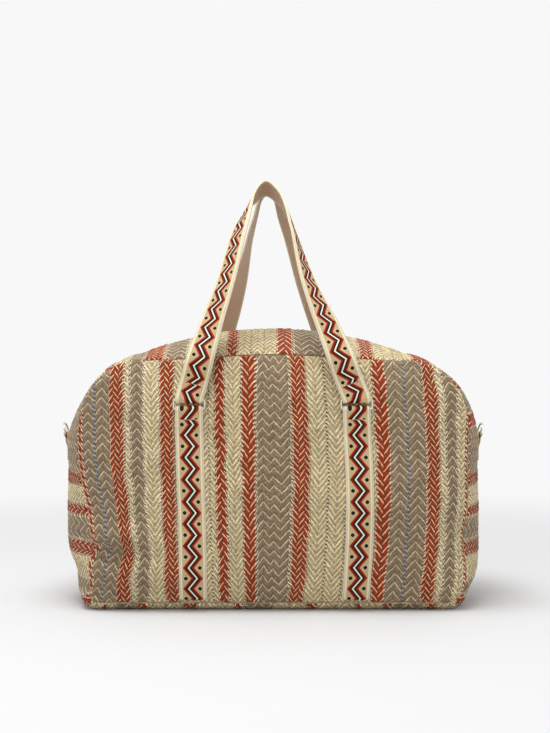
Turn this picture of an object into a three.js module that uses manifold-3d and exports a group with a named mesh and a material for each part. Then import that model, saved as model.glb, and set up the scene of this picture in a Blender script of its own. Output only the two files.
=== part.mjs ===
// Weekender bag: striped woven shell, zipped top gusset, two strap handles on metal rings.
// Millimetres. The bag stands on z = 0, its front faces -Y and its width runs along X.
import * as THREE from "three";
import { mergeVertices } from "three/addons/utils/BufferGeometryUtils.js";
import Module from "manifold-3d";

const wasm = await Module();
wasm.setup();

// Shell: the seams between the panels and the gusset lie in the planes y = +-SEAM_HALF_DEPTH.
const SEAM_HALF_WIDTH = 242;
const SEAM_HALF_DEPTH = 95;
const SEAM_BOTTOM = 10;
const SEAM_SHOULDER_TOP = 310;
const SEAM_CROWN_RISE = 7;
const BOTTOM_CORNER_RADIUS = 28;
const SHOULDER_START = 212;
const SHOULDER_WIDTH = 72;
const PANEL_BULGE = 20;
const SIDE_BULGE = 24;
const SHOULDER_HOLLOW = 10;
const CROWN_RADIUS = 460;
const CROWN_TOP = 352;
const FABRIC = 2.5;
const SEAM_CLEARANCE = 0.9;
const BASE_ROUNDING = 0.2;

// Lining and stiffener inside the shell.
const LINING = 0.8;
const LINING_DEPTH = 4.8;
const POCKET_GAP = 1.1;
const BOARD_THICKNESS = 3;
const BOARD_GAP = 0.5;
const BOARD_HALF_LENGTH = 205;
const BOARD_HALF_WIDTH = 76;
const LINING_MARGIN = 4;
const POCKET_HALF_WIDTH = 100;
const POCKET_BOTTOM = 90;
const POCKET_TOP = 230;

// Zip, sunk in a valley between the two halves of the top gusset.
const ZIP_END = 223;
const ZIP_SLOT_HALF = 7;
const VALLEY_HALF = 15;
const VALLEY_DEPTH = 5;
const TAPE_DEPTH = 9;
const TAPE_THICKNESS = 0.8;
const TAPE_OUTER = 15.5;
const TAPE_INNER = 0.6;
const TEETH_DEPTH = 6.5;
const TEETH_HEIGHT = 2.2;
const TEETH_OUTER = 2.7;
const TEETH_INNER = 0.25;
const SLIDER_LENGTH = 12;
const SLIDER_WIDTH = 8.4;
const SLIDER_PLATE = 1.6;
const SLIDER_CORNER = 3;
const SLIDER_DEPTH = 4.6;
const EYE_DEPTH = 3;
const EYE_RADIUS = 2.6;
const EYE_HOLE = 1.3;
const EYE_WIDTH = 2.2;
const SLIDER_ANGLE = 0.8;
const PULL_LENGTH = 30;
const PULL_WIDTH = 7;
const PULL_THICKNESS = 1.4;
const PULL_WINDOW_LENGTH = 4;
const PULL_WINDOW_WIDTH = 3.4;
const END_COVER_LENGTH = 14;
const END_COVER_HALF_WIDTH = 13;
const END_COVER_GAP = 2.5;

// Straps: a plain backing with a patterned trim sewn on its outer face.
const STRAP_WIDTH = 34;
const BACKING = 1.2;
const TRIM = 1;
const TRIM_WIDTH = 30;
const LAYER_GAP = 0.5;
const STRAP_STANDOFF = 0.7;
const ANCHOR_X = 102;
const ANCHOR_BOTTOM = 16;

// Rectangular rings that join the anchor straps to the handles.
const WIRE = 2.6;
const WIRE_CLEARANCE = 0.45;
const RING_HEIGHT = 250;
const RING_INNER_WIDTH = 35.2;
const RING_INNER_HEIGHT = 9;

// Side tabs and their D-rings.
const TAB_WIDTH = 20;
const TAB_THICKNESS = 1.6;
const TAB_BOTTOM = 180;
const D_BAR_HEIGHT = 214;
const D_INNER_WIDTH = 21.4;
const D_INNER_HEIGHT = 13;
const D_LEAN = 15;

const LOOP_INNER = WIRE / 2 + WIRE_CLEARANCE;
const LOOP_OUTER = LOOP_INNER + BACKING + LAYER_GAP + TRIM;
const BAR_SPACING = RING_INNER_HEIGHT + WIRE;
const SHOULDER_RISE = SEAM_SHOULDER_TOP - SHOULDER_START;
const SHOULDER_X = SEAM_HALF_WIDTH - SHOULDER_WIDTH;
const FLAT_HALF = SEAM_HALF_WIDTH - BOTTOM_CORNER_RADIUS;
const CORNER_LENGTH = (BOTTOM_CORNER_RADIUS * Math.PI) / 2;
const SIDE_LENGTH = SHOULDER_START - SEAM_BOTTOM - BOTTOM_CORNER_RADIUS;
const SHOULDER_LENGTH = ((SHOULDER_WIDTH + SHOULDER_RISE) * Math.PI) / 4;
const CORNER_FROM = FLAT_HALF;
const SIDE_FROM = CORNER_FROM + CORNER_LENGTH;
const SHOULDER_FROM = SIDE_FROM + SIDE_LENGTH;
const CROWN_FROM = SHOULDER_FROM + SHOULDER_LENGTH;
const HALF_LOOP = CROWN_FROM + SHOULDER_X;
const ZIP_FROM = SHOULDER_FROM + (ZIP_END - SHOULDER_START);
const SHELL_CENTRE = new THREE.Vector3(0, 0, 170);
const X_AXIS = new THREE.Vector3(1, 0, 0);
const Y_AXIS = new THREE.Vector3(0, 1, 0);

const MATERIALS = {
  stripedFabric: { color: 0xc9b394, roughness: 0.9, metalness: 0 },
  gussetFabric: { color: 0xb98d74, roughness: 0.9, metalness: 0 },
  lining: { color: 0xcbbb9c, roughness: 0.85, metalness: 0 },
  board: { color: 0x6b6259, roughness: 0.8, metalness: 0 },
  zipTape: { color: 0xcfc0a0, roughness: 0.85, metalness: 0 },
  metal: { color: 0xcfc8b8, roughness: 0.25, metalness: 1 },
  backing: { color: 0xb9987a, roughness: 0.7, metalness: 0 },
  trim: { color: 0xc2a987, roughness: 0.85, metalness: 0 },
};

const bag = new THREE.Group();

function addPiece(parent, name, geometry, material) {
  const mesh = new THREE.Mesh(geometry, new THREE.MeshStandardMaterial(MATERIALS[material]));
  mesh.name = name;
  parent.add(mesh);
  return mesh;
}

function steps(from, to, count) {
  return Array.from({ length: count + 1 }, (_, i) => from + ((to - from) * i) / count);
}

function smooth(value) {
  const t = THREE.MathUtils.clamp(value, 0, 1);
  return t * t * (3 - 2 * t);
}

function signedVolume(geometry) {
  const position = geometry.getAttribute("position");
  const corner = (i) => new THREE.Vector3().fromBufferAttribute(position, geometry.index.getX(i));
  let total = 0;
  for (let i = 0; i < geometry.index.count; i += 3) {
    total += corner(i).dot(corner(i + 1).cross(corner(i + 2)));
  }
  return total;
}

// A closed body between two grids of points with the same rows and columns.
function slab(front, back) {
  const columns = front[0].length;
  const layer = front.length * columns;
  const indices = [];
  const quad = (a, b, c, d) => indices.push(a, b, c, a, c, d);
  for (let row = 0; row < front.length - 1; row += 1) {
    for (let column = 0; column < columns - 1; column += 1) {
      const at = row * columns + column;
      quad(at, at + 1, at + columns + 1, at + columns);
      quad(layer + at, layer + at + columns, layer + at + columns + 1, layer + at + 1);
    }
    const left = row * columns;
    const right = left + columns - 1;
    quad(left, left + columns, layer + left + columns, layer + left);
    quad(right, layer + right, layer + right + columns, right + columns);
  }
  for (let column = 0; column < columns - 1; column += 1) {
    const last = layer - columns + column;
    quad(column, layer + column, layer + column + 1, column + 1);
    quad(last, last + 1, layer + last + 1, layer + last);
  }
  const points = [...front.flat(), ...back.flat()];
  const geometry = new THREE.BufferGeometry();
  const coordinates = points.flatMap((point) => point.toArray());
  geometry.setAttribute("position", new THREE.Float32BufferAttribute(coordinates, 3));
  geometry.setIndex(indices);
  if (signedVolume(geometry) < 0) {
    geometry.setIndex(indices.reverse());
  }
  return geometry;
}

function outwardNormal(surface, u, v) {
  const step = 0.001;
  const along = surface(u + step, v).sub(surface(u - step, v));
  const across = surface(u, v + step).sub(surface(u, v - step));
  const normal = along.cross(across).normalize();
  const outward = surface(u, v).sub(SHELL_CENTRE);
  return normal.dot(outward) < 0 ? normal.negate() : normal;
}

// A sheet of even thickness whose outer face lies at a depth under a surface.
function sheet(surface, rows, columns, depth, thickness) {
  const sunk = (u, v, under) => surface(u, v).addScaledVector(outwardNormal(surface, u, v), -under);
  const layer = (under) => rows.map((u) => columns.map((v) => sunk(u, v, under)));
  return slab(layer(depth), layer(depth + thickness));
}

// A flat strip along a path. Its outer side is across x direction of travel.
function strip(path, across, width, depth, thickness) {
  const tangent = (i) => {
    const before = path[Math.max(i - 1, 0)];
    const after = path[Math.min(i + 1, path.length - 1)];
    return after.clone().sub(before).normalize();
  };
  const layer = (over) =>
    path.map((point, i) => {
      const normal = across[i].clone().cross(tangent(i)).normalize();
      const side = tangent(i).cross(normal);
      const centre = point.clone().addScaledVector(normal, over);
      return [-width / 2, width / 2].map((offset) => centre.clone().addScaledVector(side, offset));
    });
  return slab(layer(depth + thickness), layer(depth));
}

function toSolid(geometry) {
  const bare = geometry.clone();
  bare.deleteAttribute("normal");
  bare.deleteAttribute("uv");
  const merged = mergeVertices(bare, 1e-4);
  const vertProperties = new Float32Array(merged.getAttribute("position").array);
  const triVerts = new Uint32Array(merged.index.array);
  return new wasm.Manifold(new wasm.Mesh({ numProp: 3, vertProperties, triVerts }));
}

function fromSolid(solid) {
  const mesh = solid.getMesh();
  const geometry = new THREE.BufferGeometry();
  geometry.setAttribute("position", new THREE.Float32BufferAttribute(mesh.vertProperties, 3));
  geometry.setIndex(new THREE.Uint32BufferAttribute(mesh.triVerts, 1));
  return geometry;
}

// The shell's shape.

function crownHeight(x) {
  return CROWN_TOP - CROWN_RADIUS + Math.sqrt(CROWN_RADIUS ** 2 - x ** 2);
}

function seamTop(x) {
  const reach = Math.abs(x);
  if (reach > SHOULDER_X) {
    const t = Math.min((reach - SHOULDER_X) / SHOULDER_WIDTH, 1);
    return SHOULDER_START + SHOULDER_RISE * Math.sqrt(1 - t * t);
  }
  return SEAM_SHOULDER_TOP + (SEAM_CROWN_RISE / 2) * (1 + Math.cos((Math.PI * x) / SHOULDER_X));
}

function seamFoot(x) {
  const t = Math.max(Math.abs(x) - FLAT_HALF, 0) / BOTTOM_CORNER_RADIUS;
  return SEAM_BOTTOM + BOTTOM_CORNER_RADIUS * (1 - Math.sqrt(Math.max(1 - t * t, 0)));
}

function panelBulge(x, height) {
  const up = (2 * height) - 1;
  return PANEL_BULGE * (1 - Math.abs(up) ** 3.5) * (1 - Math.abs(x / SEAM_HALF_WIDTH) ** 5);
}

// The point of a panel at a turn (0 left edge, 1 right edge) and a share of its height.
function panelSurface(side) {
  return (turn, height) => {
    const x = -SEAM_HALF_WIDTH * Math.cos(Math.PI * turn);
    const z = THREE.MathUtils.lerp(seamFoot(x), seamTop(x), height);
    return new THREE.Vector3(x, side * (SEAM_HALF_DEPTH + panelBulge(x, height)), z);
  };
}

function panelDepthAt(x, z) {
  const height = (z - seamFoot(x)) / (seamTop(x) - seamFoot(x));
  return SEAM_HALF_DEPTH + panelBulge(x, THREE.MathUtils.clamp(height, 0, 1));
}

// The seam outline by distance from the bottom centre, positive to the right.
function seamAt(distance) {
  const d = Math.abs(distance);
  if (d <= CORNER_FROM) {
    return { x: d, z: SEAM_BOTTOM, nx: 0, nz: -1, bulge: SEAM_BOTTOM, round: 0 };
  }
  if (d <= SIDE_FROM) {
    const angle = (d - CORNER_FROM) / BOTTOM_CORNER_RADIUS;
    const round = smooth(angle / (Math.PI / 2));
    return {
      x: FLAT_HALF + BOTTOM_CORNER_RADIUS * Math.sin(angle),
      z: SEAM_BOTTOM + BOTTOM_CORNER_RADIUS * (1 - Math.cos(angle)),
      nx: Math.sin(angle),
      nz: -Math.cos(angle),
      bulge: THREE.MathUtils.lerp(SEAM_BOTTOM, SIDE_BULGE, round),
      round,
    };
  }
  if (d <= SHOULDER_FROM) {
    const z = SEAM_BOTTOM + BOTTOM_CORNER_RADIUS + d - SIDE_FROM;
    return { x: SEAM_HALF_WIDTH, z, nx: 1, nz: 0, bulge: SIDE_BULGE, round: 1 };
  }
  if (d <= CROWN_FROM) {
    const turn = (d - SHOULDER_FROM) / SHOULDER_LENGTH;
    const angle = (turn * Math.PI) / 2;
    const normal = new THREE.Vector2(Math.cos(angle) / SHOULDER_WIDTH, Math.sin(angle) / SHOULDER_RISE);
    normal.normalize();
    const crownBulge = crownHeight(SHOULDER_X) - SEAM_SHOULDER_TOP;
    const evenBulge = THREE.MathUtils.lerp(SIDE_BULGE, crownBulge, turn);
    return {
      x: SHOULDER_X + SHOULDER_WIDTH * Math.cos(angle),
      z: SHOULDER_START + SHOULDER_RISE * Math.sin(angle),
      nx: normal.x,
      nz: normal.y,
      bulge: evenBulge - SHOULDER_HOLLOW * Math.sin(Math.PI * turn),
      round: 1,
    };
  }
  const x = SHOULDER_X - (d - CROWN_FROM);
  return { x, z: seamTop(x), nx: 0, nz: 1, bulge: crownHeight(x) - seamTop(x), round: 1 };
}

// The gusset by distance along the seam and a share of the half depth, -1 front to 1 back.
function gussetSurface(distance, share) {
  const side = distance < 0 ? -1 : 1;
  const seam = seamAt(distance);
  const flat = 1 - Math.max((Math.abs(share) - 1 + BASE_ROUNDING) / BASE_ROUNDING, 0) ** 2;
  const arched = 1 - share * share;
  const rise = seam.bulge * THREE.MathUtils.lerp(flat, arched, seam.round);
  const x = side * (seam.x + seam.nx * rise);
  return new THREE.Vector3(x, share * SEAM_HALF_DEPTH, seam.z + seam.nz * rise);
}

// The top gusset, which dips into the valley where the zip lies.
function zipGussetSurface(distance, share) {
  const normal = zipNormal(distance);
  const offset = Math.abs(share) * SEAM_HALF_DEPTH;
  const dip = VALLEY_DEPTH * smooth((VALLEY_HALF - offset) / (VALLEY_HALF - ZIP_SLOT_HALF));
  return gussetSurface(distance, share).addScaledVector(normal, -dip);
}

// The outward direction along the crown line, square to it in the plane y = 0.
function zipNormal(distance) {
  const step = 0.5;
  const reach = THREE.MathUtils.clamp(distance, -HALF_LOOP + step, HALF_LOOP - step);
  const along = gussetSurface(reach + step, 0).sub(gussetSurface(reach - step, 0));
  const normal = along.cross(Y_AXIS).normalize();
  const outward = gussetSurface(distance, 0).sub(SHELL_CENTRE);
  return normal.dot(outward) < 0 ? normal.negate() : normal;
}

// The crown line runs over the top: travel is 0 at the middle, negative to the left.
function crownDistance(travel) {
  return travel < 0 ? -(HALF_LOOP + travel) : HALF_LOOP - travel;
}

function zipSurface(travel, offset) {
  const distance = crownDistance(travel);
  const point = gussetSurface(distance, 0);
  return point.setY(offset);
}

function zipSheet(rows, columns, depth, thickness) {
  const layer = (under) =>
    rows.map((travel) => {
      const normal = zipNormal(crownDistance(travel));
      return columns.map((offset) => zipSurface(travel, offset).addScaledVector(normal, -under));
    });
  return slab(layer(depth), layer(depth + thickness));
}

// Shell pieces.

const PANEL_TURNS = steps(0.02, 0.98, 12);
const PANEL_HEIGHTS = steps(0, 1, 14);
const LINING_TURNS = steps(0.08, 0.92, 8);
const LINING_HEIGHTS = steps(0.03, 0.97, 7);
const SEAM_SHARE = 1 - (FABRIC + SEAM_CLEARANCE) / SEAM_HALF_DEPTH;
const ZIP_TRAVEL = HALF_LOOP - ZIP_FROM;
const ZIP_TRAVELS = steps(-ZIP_TRAVEL + SEAM_CLEARANCE / 2, ZIP_TRAVEL - SEAM_CLEARANCE / 2, 26);
const SIDE_ROWS = [
  ...steps(FLAT_HALF + SEAM_CLEARANCE / 2, SIDE_FROM, 5),
  ...steps(SIDE_FROM + 30, ZIP_FROM - SEAM_CLEARANCE / 2, 5),
];

function addPanels() {
  for (const [name, side] of [["front", -1], ["back", 1]]) {
    const geometry = sheet(panelSurface(side), PANEL_TURNS, PANEL_HEIGHTS, 0, FABRIC);
    addPiece(bag, `${name}_panel`, geometry, "stripedFabric");
  }
}

function addBase() {
  const reach = FLAT_HALF - SEAM_CLEARANCE / 2;
  const shares = [-SEAM_SHARE, -0.9, -0.8, 0, 0.8, 0.9, SEAM_SHARE];
  const geometry = sheet(gussetSurface, steps(-reach, reach, 6), shares, 0, FABRIC);
  addPiece(bag, "base_panel", geometry, "gussetFabric");
}

function addSideGussets() {
  const shares = steps(-SEAM_SHARE, SEAM_SHARE, 6);
  for (const [name, side] of [["left", -1], ["right", 1]]) {
    const surface = (distance, share) => gussetSurface(side * distance, share);
    addPiece(bag, `side_gusset_${name}`, sheet(surface, SIDE_ROWS, shares, 0, FABRIC), "gussetFabric");
  }
}

function addZipGussets() {
  const valley = [ZIP_SLOT_HALF, (ZIP_SLOT_HALF + VALLEY_HALF) / 2];
  const seam = SEAM_SHARE * SEAM_HALF_DEPTH;
  const shares = [...valley, ...steps(VALLEY_HALF, seam, 3)].map((offset) => offset / SEAM_HALF_DEPTH);
  for (const [name, side] of [["front", -1], ["back", 1]]) {
    const surface = (travel, share) => zipGussetSurface(crownDistance(travel), side * share);
    addPiece(bag, `zip_gusset_${name}`, sheet(surface, ZIP_TRAVELS, shares, 0, FABRIC), "gussetFabric");
  }
}

// Lining, stiffener and pocket inside the shell.

function addPanelLinings() {
  for (const [name, side] of [["front", -1], ["back", 1]]) {
    const geometry = sheet(panelSurface(side), LINING_TURNS, LINING_HEIGHTS, LINING_DEPTH, LINING);
    addPiece(bag, `lining_${name}`, geometry, "lining");
  }
}

function addGussetLinings() {
  const shares = steps(-0.9, 0.9, 6);
  for (const [name, side] of [["left", -1], ["right", 1]]) {
    const surface = (distance, share) => gussetSurface(side * distance, share);
    const geometry = sheet(surface, SIDE_ROWS.slice(4), shares, LINING_DEPTH, LINING);
    addPiece(bag, `lining_side_${name}`, geometry, "lining");
  }
  const zipShares = [18, 38, 60, 84].map((offset) => offset / SEAM_HALF_DEPTH);
  for (const [name, side] of [["front", -1], ["back", 1]]) {
    const surface = (travel, share) => gussetSurface(crownDistance(travel), side * share);
    const geometry = sheet(surface, ZIP_TRAVELS, zipShares, LINING_DEPTH, LINING);
    addPiece(bag, `lining_top_${name}`, geometry, "lining");
  }
}

function flatBox(halfLength, halfWidth, thickness, bottom) {
  const geometry = new THREE.BoxGeometry(2 * halfLength, 2 * halfWidth, thickness);
  return geometry.translate(0, 0, bottom + thickness / 2);
}

function addBaseBoard() {
  const boardBottom = FABRIC + BOARD_GAP;
  const liningBottom = boardBottom + BOARD_THICKNESS + BOARD_GAP;
  const board = flatBox(BOARD_HALF_LENGTH, BOARD_HALF_WIDTH, BOARD_THICKNESS, boardBottom);
  const lining = flatBox(BOARD_HALF_LENGTH, BOARD_HALF_WIDTH + LINING_MARGIN, LINING, liningBottom);
  addPiece(bag, "base_board", board, "board");
  addPiece(bag, "lining_base", lining, "lining");
}

function addSlipPocket() {
  const depth = LINING_DEPTH + LINING + POCKET_GAP;
  const surface = (x, z) => new THREE.Vector3(x, panelDepthAt(x, z), z);
  const columns = steps(-POCKET_HALF_WIDTH, POCKET_HALF_WIDTH, 5);
  const geometry = sheet(surface, columns, steps(POCKET_BOTTOM, POCKET_TOP, 5), depth, LINING);
  addPiece(bag, "slip_pocket", geometry, "lining");
}

// Zip.

function addZipTapes() {
  for (const [name, side] of [["front", -1], ["back", 1]]) {
    const tapeEdges = [side * TAPE_INNER, side * TAPE_OUTER];
    const teethEdges = [side * TEETH_INNER, side * TEETH_OUTER];
    const tape = zipSheet(ZIP_TRAVELS, tapeEdges, TAPE_DEPTH, TAPE_THICKNESS);
    const teeth = zipSheet(ZIP_TRAVELS, teethEdges, TEETH_DEPTH, TEETH_HEIGHT);
    addPiece(bag, `zip_tape_${name}`, tape, "zipTape");
    addPiece(bag, `zip_teeth_${name}`, teeth, "metal");
  }
}

function addZipEndCovers() {
  const offsets = [-END_COVER_HALF_WIDTH, 0, END_COVER_HALF_WIDTH];
  const depth = TAPE_DEPTH + TAPE_THICKNESS + END_COVER_GAP;
  for (const [name, side] of [["left", -1], ["right", 1]]) {
    const travels = steps(side * (ZIP_TRAVEL - END_COVER_LENGTH), side * (ZIP_TRAVEL - 1), 3);
    addPiece(bag, `zip_end_tab_${name}`, zipSheet(travels, offsets, depth, BACKING), "backing");
  }
}

function roundedRectangle(width, height, radius, Target = THREE.Shape) {
  const right = width / 2;
  const top = height / 2;
  const outline = new Target();
  outline.moveTo(-right + radius, -top);
  outline.lineTo(right - radius, -top);
  outline.absarc(right - radius, -top + radius, radius, -Math.PI / 2, 0, false);
  outline.lineTo(right, top - radius);
  outline.absarc(right - radius, top - radius, radius, 0, Math.PI / 2, false);
  outline.lineTo(-right + radius, top);
  outline.absarc(-right + radius, top - radius, radius, Math.PI / 2, Math.PI, false);
  outline.lineTo(-right, -top + radius);
  outline.absarc(-right + radius, -top + radius, radius, Math.PI, 1.5 * Math.PI, false);
  return outline;
}

// A plate with rounded plan over the teeth and an upright eye for the pull's bar.
function sliderGeometry() {
  const plan = roundedRectangle(SLIDER_LENGTH, SLIDER_WIDTH, SLIDER_CORNER);
  const options = { depth: SLIDER_PLATE, bevelEnabled: false, curveSegments: 3 };
  const plate = new THREE.ExtrudeGeometry(plan, options);
  plate.translate(0, 0, -SLIDER_DEPTH - SLIDER_PLATE);
  const ring = new THREE.Shape();
  ring.absarc(0, 0, EYE_RADIUS, 0, 2 * Math.PI, false);
  const hole = new THREE.Path();
  hole.absarc(0, 0, EYE_HOLE, 0, 2 * Math.PI, true);
  ring.holes.push(hole);
  const eye = new THREE.ExtrudeGeometry(ring, { depth: EYE_WIDTH, bevelEnabled: false, curveSegments: 6 });
  eye.rotateX(Math.PI / 2);
  eye.translate(0, EYE_WIDTH / 2, -EYE_DEPTH);
  return fromSolid(toSolid(plate).add(toSolid(eye)));
}

// A flat tab with a window at one end, whose end bar runs through the slider's eye.
function pullGeometry() {
  const barHalf = PULL_THICKNESS / 2;
  const outline = roundedRectangle(PULL_LENGTH, PULL_WIDTH, 2);
  const window = roundedRectangle(PULL_WINDOW_LENGTH, PULL_WINDOW_WIDTH, 0.5, THREE.Path);
  const inset = PULL_LENGTH / 2 - PULL_THICKNESS - PULL_WINDOW_LENGTH / 2;
  const points = window.getPoints(2).map((p) => new THREE.Vector2(p.x - inset, p.y));
  outline.holes.push(new THREE.Path(points));
  const options = { depth: PULL_THICKNESS, bevelEnabled: false, curveSegments: 3 };
  const geometry = new THREE.ExtrudeGeometry(outline, options);
  return geometry.translate(PULL_LENGTH / 2 - barHalf, 0, -barHalf);
}

function addSliders() {
  for (const [name, side] of [["left", -1], ["right", 1]]) {
    const arc = new THREE.Group();
    arc.position.set(0, 0, CROWN_TOP - CROWN_RADIUS);
    arc.rotation.y = THREE.MathUtils.degToRad(side * SLIDER_ANGLE);
    const seat = new THREE.Group();
    seat.position.set(0, 0, CROWN_RADIUS);
    arc.add(seat);
    bag.add(arc);
    addPiece(seat, `zip_slider_${name}`, sliderGeometry(), "metal");
    const pull = addPiece(seat, `zip_pull_${name}`, pullGeometry(), "metal");
    pull.position.set(0, 0, -EYE_DEPTH);
    pull.rotation.z = side < 0 ? Math.PI : 0;
  }
}

// Straps, rings and handles. Each is built for the front and turned about Z for the back.

function anchorBarDepth() {
  return panelDepthAt(ANCHOR_X, RING_HEIGHT) + STRAP_STANDOFF + LOOP_OUTER;
}

// The anchor's inner face: up the panel, over the ring's lower bar and down behind itself.
function anchorPath() {
  const onPanel = (drop, standoff) => {
    const z = RING_HEIGHT - drop;
    return new THREE.Vector3(ANCHOR_X, -panelDepthAt(ANCHOR_X, z) - STRAP_STANDOFF - standoff, z);
  };
  const doubled = LOOP_OUTER - LOOP_INNER;
  const path = steps(RING_HEIGHT - ANCHOR_BOTTOM, 34, 13).map((drop) => onPanel(drop, 0));
  path.push(onPanel(28, 0.3), onPanel(21, 1.9), onPanel(15, doubled + 0.5));
  path.push(onPanel(9, doubled + 1.2), onPanel(4, doubled + 2.3));
  for (const angle of steps(0, Math.PI, 5)) {
    const y = -anchorBarDepth() - LOOP_INNER * Math.cos(angle);
    path.push(new THREE.Vector3(ANCHOR_X, y, RING_HEIGHT + LOOP_INNER * Math.sin(angle)));
  }
  path.push(onPanel(5, doubled), onPanel(10, doubled), onPanel(14, doubled));
  return path;
}

function ringGeometry() {
  const bevel = WIRE * 0.28;
  const outer = roundedRectangle(
    RING_INNER_WIDTH + 2 * WIRE - 2 * bevel,
    RING_INNER_HEIGHT + 2 * WIRE - 2 * bevel,
    2,
  );
  const innerWidth = RING_INNER_WIDTH + 2 * bevel;
  const innerHeight = RING_INNER_HEIGHT + 2 * bevel;
  const inner = roundedRectangle(innerWidth, innerHeight, 1.2, THREE.Path);
  outer.holes.push(inner);
  const options = {
    depth: WIRE - 2 * bevel,
    bevelEnabled: true,
    bevelSize: bevel,
    bevelThickness: bevel,
    bevelSegments: 1,
    curveSegments: 2,
  };
  const geometry = new THREE.ExtrudeGeometry(outer, options);
  geometry.translate(0, 0, -WIRE / 2 + bevel);
  return geometry.rotateX(Math.PI / 2);
}

function addAnchorsAndRings(name, turned) {
  const face = new THREE.Group();
  face.rotation.z = turned ? Math.PI : 0;
  bag.add(face);
  const path = anchorPath();
  const across = path.map(() => X_AXIS.clone());
  for (const [sideName, x] of [["left", -ANCHOR_X], ["right", ANCHOR_X]]) {
    const seat = new THREE.Group();
    const localX = turned ? -x : x;
    seat.position.set(localX - ANCHOR_X, 0, 0);
    face.add(seat);
    const backing = strip(path, across, STRAP_WIDTH, 0, BACKING);
    const trim = strip(path, across, TRIM_WIDTH, BACKING + LAYER_GAP, TRIM);
    addPiece(seat, `anchor_${name}_${sideName}_backing`, backing, "backing");
    addPiece(seat, `anchor_${name}_${sideName}_trim`, trim, "trim");
    const ring = addPiece(seat, `ring_${name}_${sideName}`, ringGeometry(), "metal");
    ring.position.set(ANCHOR_X, -anchorBarDepth(), RING_HEIGHT + BAR_SPACING / 2);
  }
}

// Left leg, apex and right leg of each handle's centre line, as x, distance from y = 0, z.
const HANDLE_ROUTES = {
  front: [
    [-88, 120, 312],
    [-77.5, 106, 348],
    [-58, 84, 409],
    [-42.5, 58, 472],
    [-33, 40, 500],
    [-23, 28, 520],
    [-9, 20, 532],
    [6, 28, 520],
    [17, 40, 500],
    [25.5, 58, 472],
    [43.5, 84, 409],
    [68.5, 106, 348],
    [82.5, 120, 312],
  ],
  back: [
    [-86, 120, 312],
    [-72, 106, 348],
    [-53, 84, 409],
    [-37, 58, 472],
    [-26, 38, 503],
    [-17, 26, 523],
    [-6, 19.5, 534],
    [6, 26, 523],
    [16, 38, 503],
    [31, 58, 472],
    [52, 84, 409],
    [74, 106, 348],
    [88, 120, 312],
  ],
};
// How many degrees the strap has turned about its length, by height.
const TWIST_KNOTS = [
  [287, 0],
  [306, 5],
  [330, 16],
  [360, 32],
  [400, 45],
  [466, 54],
  [500, 66],
  [529, 90],
];
const APEX_TILT = { front: 27, back: 0 };
const TILT_START = 476;
const TILT_END = 528;
const HANDLE_STEPS = 44;

function twistAt(z) {
  const next = TWIST_KNOTS.findIndex(([height]) => height > z);
  if (next <= 0) {
    return THREE.MathUtils.degToRad(next === 0 ? TWIST_KNOTS[0][1] : TWIST_KNOTS.at(-1)[1]);
  }
  const [lowHeight, lowTurn] = TWIST_KNOTS[next - 1];
  const [highHeight, highTurn] = TWIST_KNOTS[next];
  const share = (z - lowHeight) / (highHeight - lowHeight);
  return THREE.MathUtils.degToRad(THREE.MathUtils.lerp(lowTurn, highTurn, share));
}

// One handle's end: the return leg down behind, round the ring's upper bar and up in front.
function handleEnd(x) {
  const barY = -anchorBarDepth();
  const barZ = RING_HEIGHT + BAR_SPACING;
  const at = (offset, rise) => new THREE.Vector3(x, barY + offset, barZ + rise);
  const path = [at(0.4, 24), at(0.5, 14), at(1.2, 6)];
  for (const angle of steps(0, Math.PI, 5)) {
    path.push(at(LOOP_INNER * Math.cos(angle), -LOOP_INNER * Math.sin(angle)));
  }
  path.push(at(-1.2, 6), at(-0.5, 14), at(-0.5, 24));
  return path;
}

function handlePath(route) {
  const left = handleEnd(-ANCHOR_X);
  const right = handleEnd(ANCHOR_X).reverse();
  const knots = route.map(([x, depth, z]) => new THREE.Vector3(x, -depth, z));
  const legs = new THREE.CatmullRomCurve3([left.at(-1), ...knots, right[0]], false, "centripetal");
  const middle = legs.getSpacedPoints(HANDLE_STEPS).slice(1, -1);
  return [...left, ...middle, ...right];
}

// The strap's width runs along X at the rings and towards the front at the apex, where it tilts.
function handleAcross(path, apexX, tilt) {
  return path.map((point) => {
    const twist = twistAt(point.z);
    const climb = smooth((point.z - TILT_START) / (TILT_END - TILT_START));
    const lift = THREE.MathUtils.degToRad(tilt) * climb;
    const side = point.x < apexX ? 1 : -1;
    const across = side * Math.cos(twist);
    return new THREE.Vector3(across, -Math.sin(twist) * Math.cos(lift), Math.sin(twist) * Math.sin(lift));
  });
}

function mirrorRoute(route) {
  return route.map(([x, depth, z]) => [-x, depth, z]).reverse();
}

function addHandle(name, turned) {
  const face = new THREE.Group();
  face.rotation.z = turned ? Math.PI : 0;
  bag.add(face);
  const route = turned ? mirrorRoute(HANDLE_ROUTES[name]) : HANDLE_ROUTES[name];
  const apex = route.reduce((best, knot) => (knot[2] > best[2] ? knot : best));
  const path = handlePath(route);
  const across = handleAcross(path, apex[0], APEX_TILT[name]);
  addPiece(face, `handle_${name}_backing`, strip(path, across, STRAP_WIDTH, 0, BACKING), "backing");
  const trim = strip(path, across, TRIM_WIDTH, BACKING + LAYER_GAP, TRIM);
  addPiece(face, `handle_${name}_trim`, trim, "trim");
}

// Side tabs and D-rings, built for the right side and turned about Z for the left.

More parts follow.
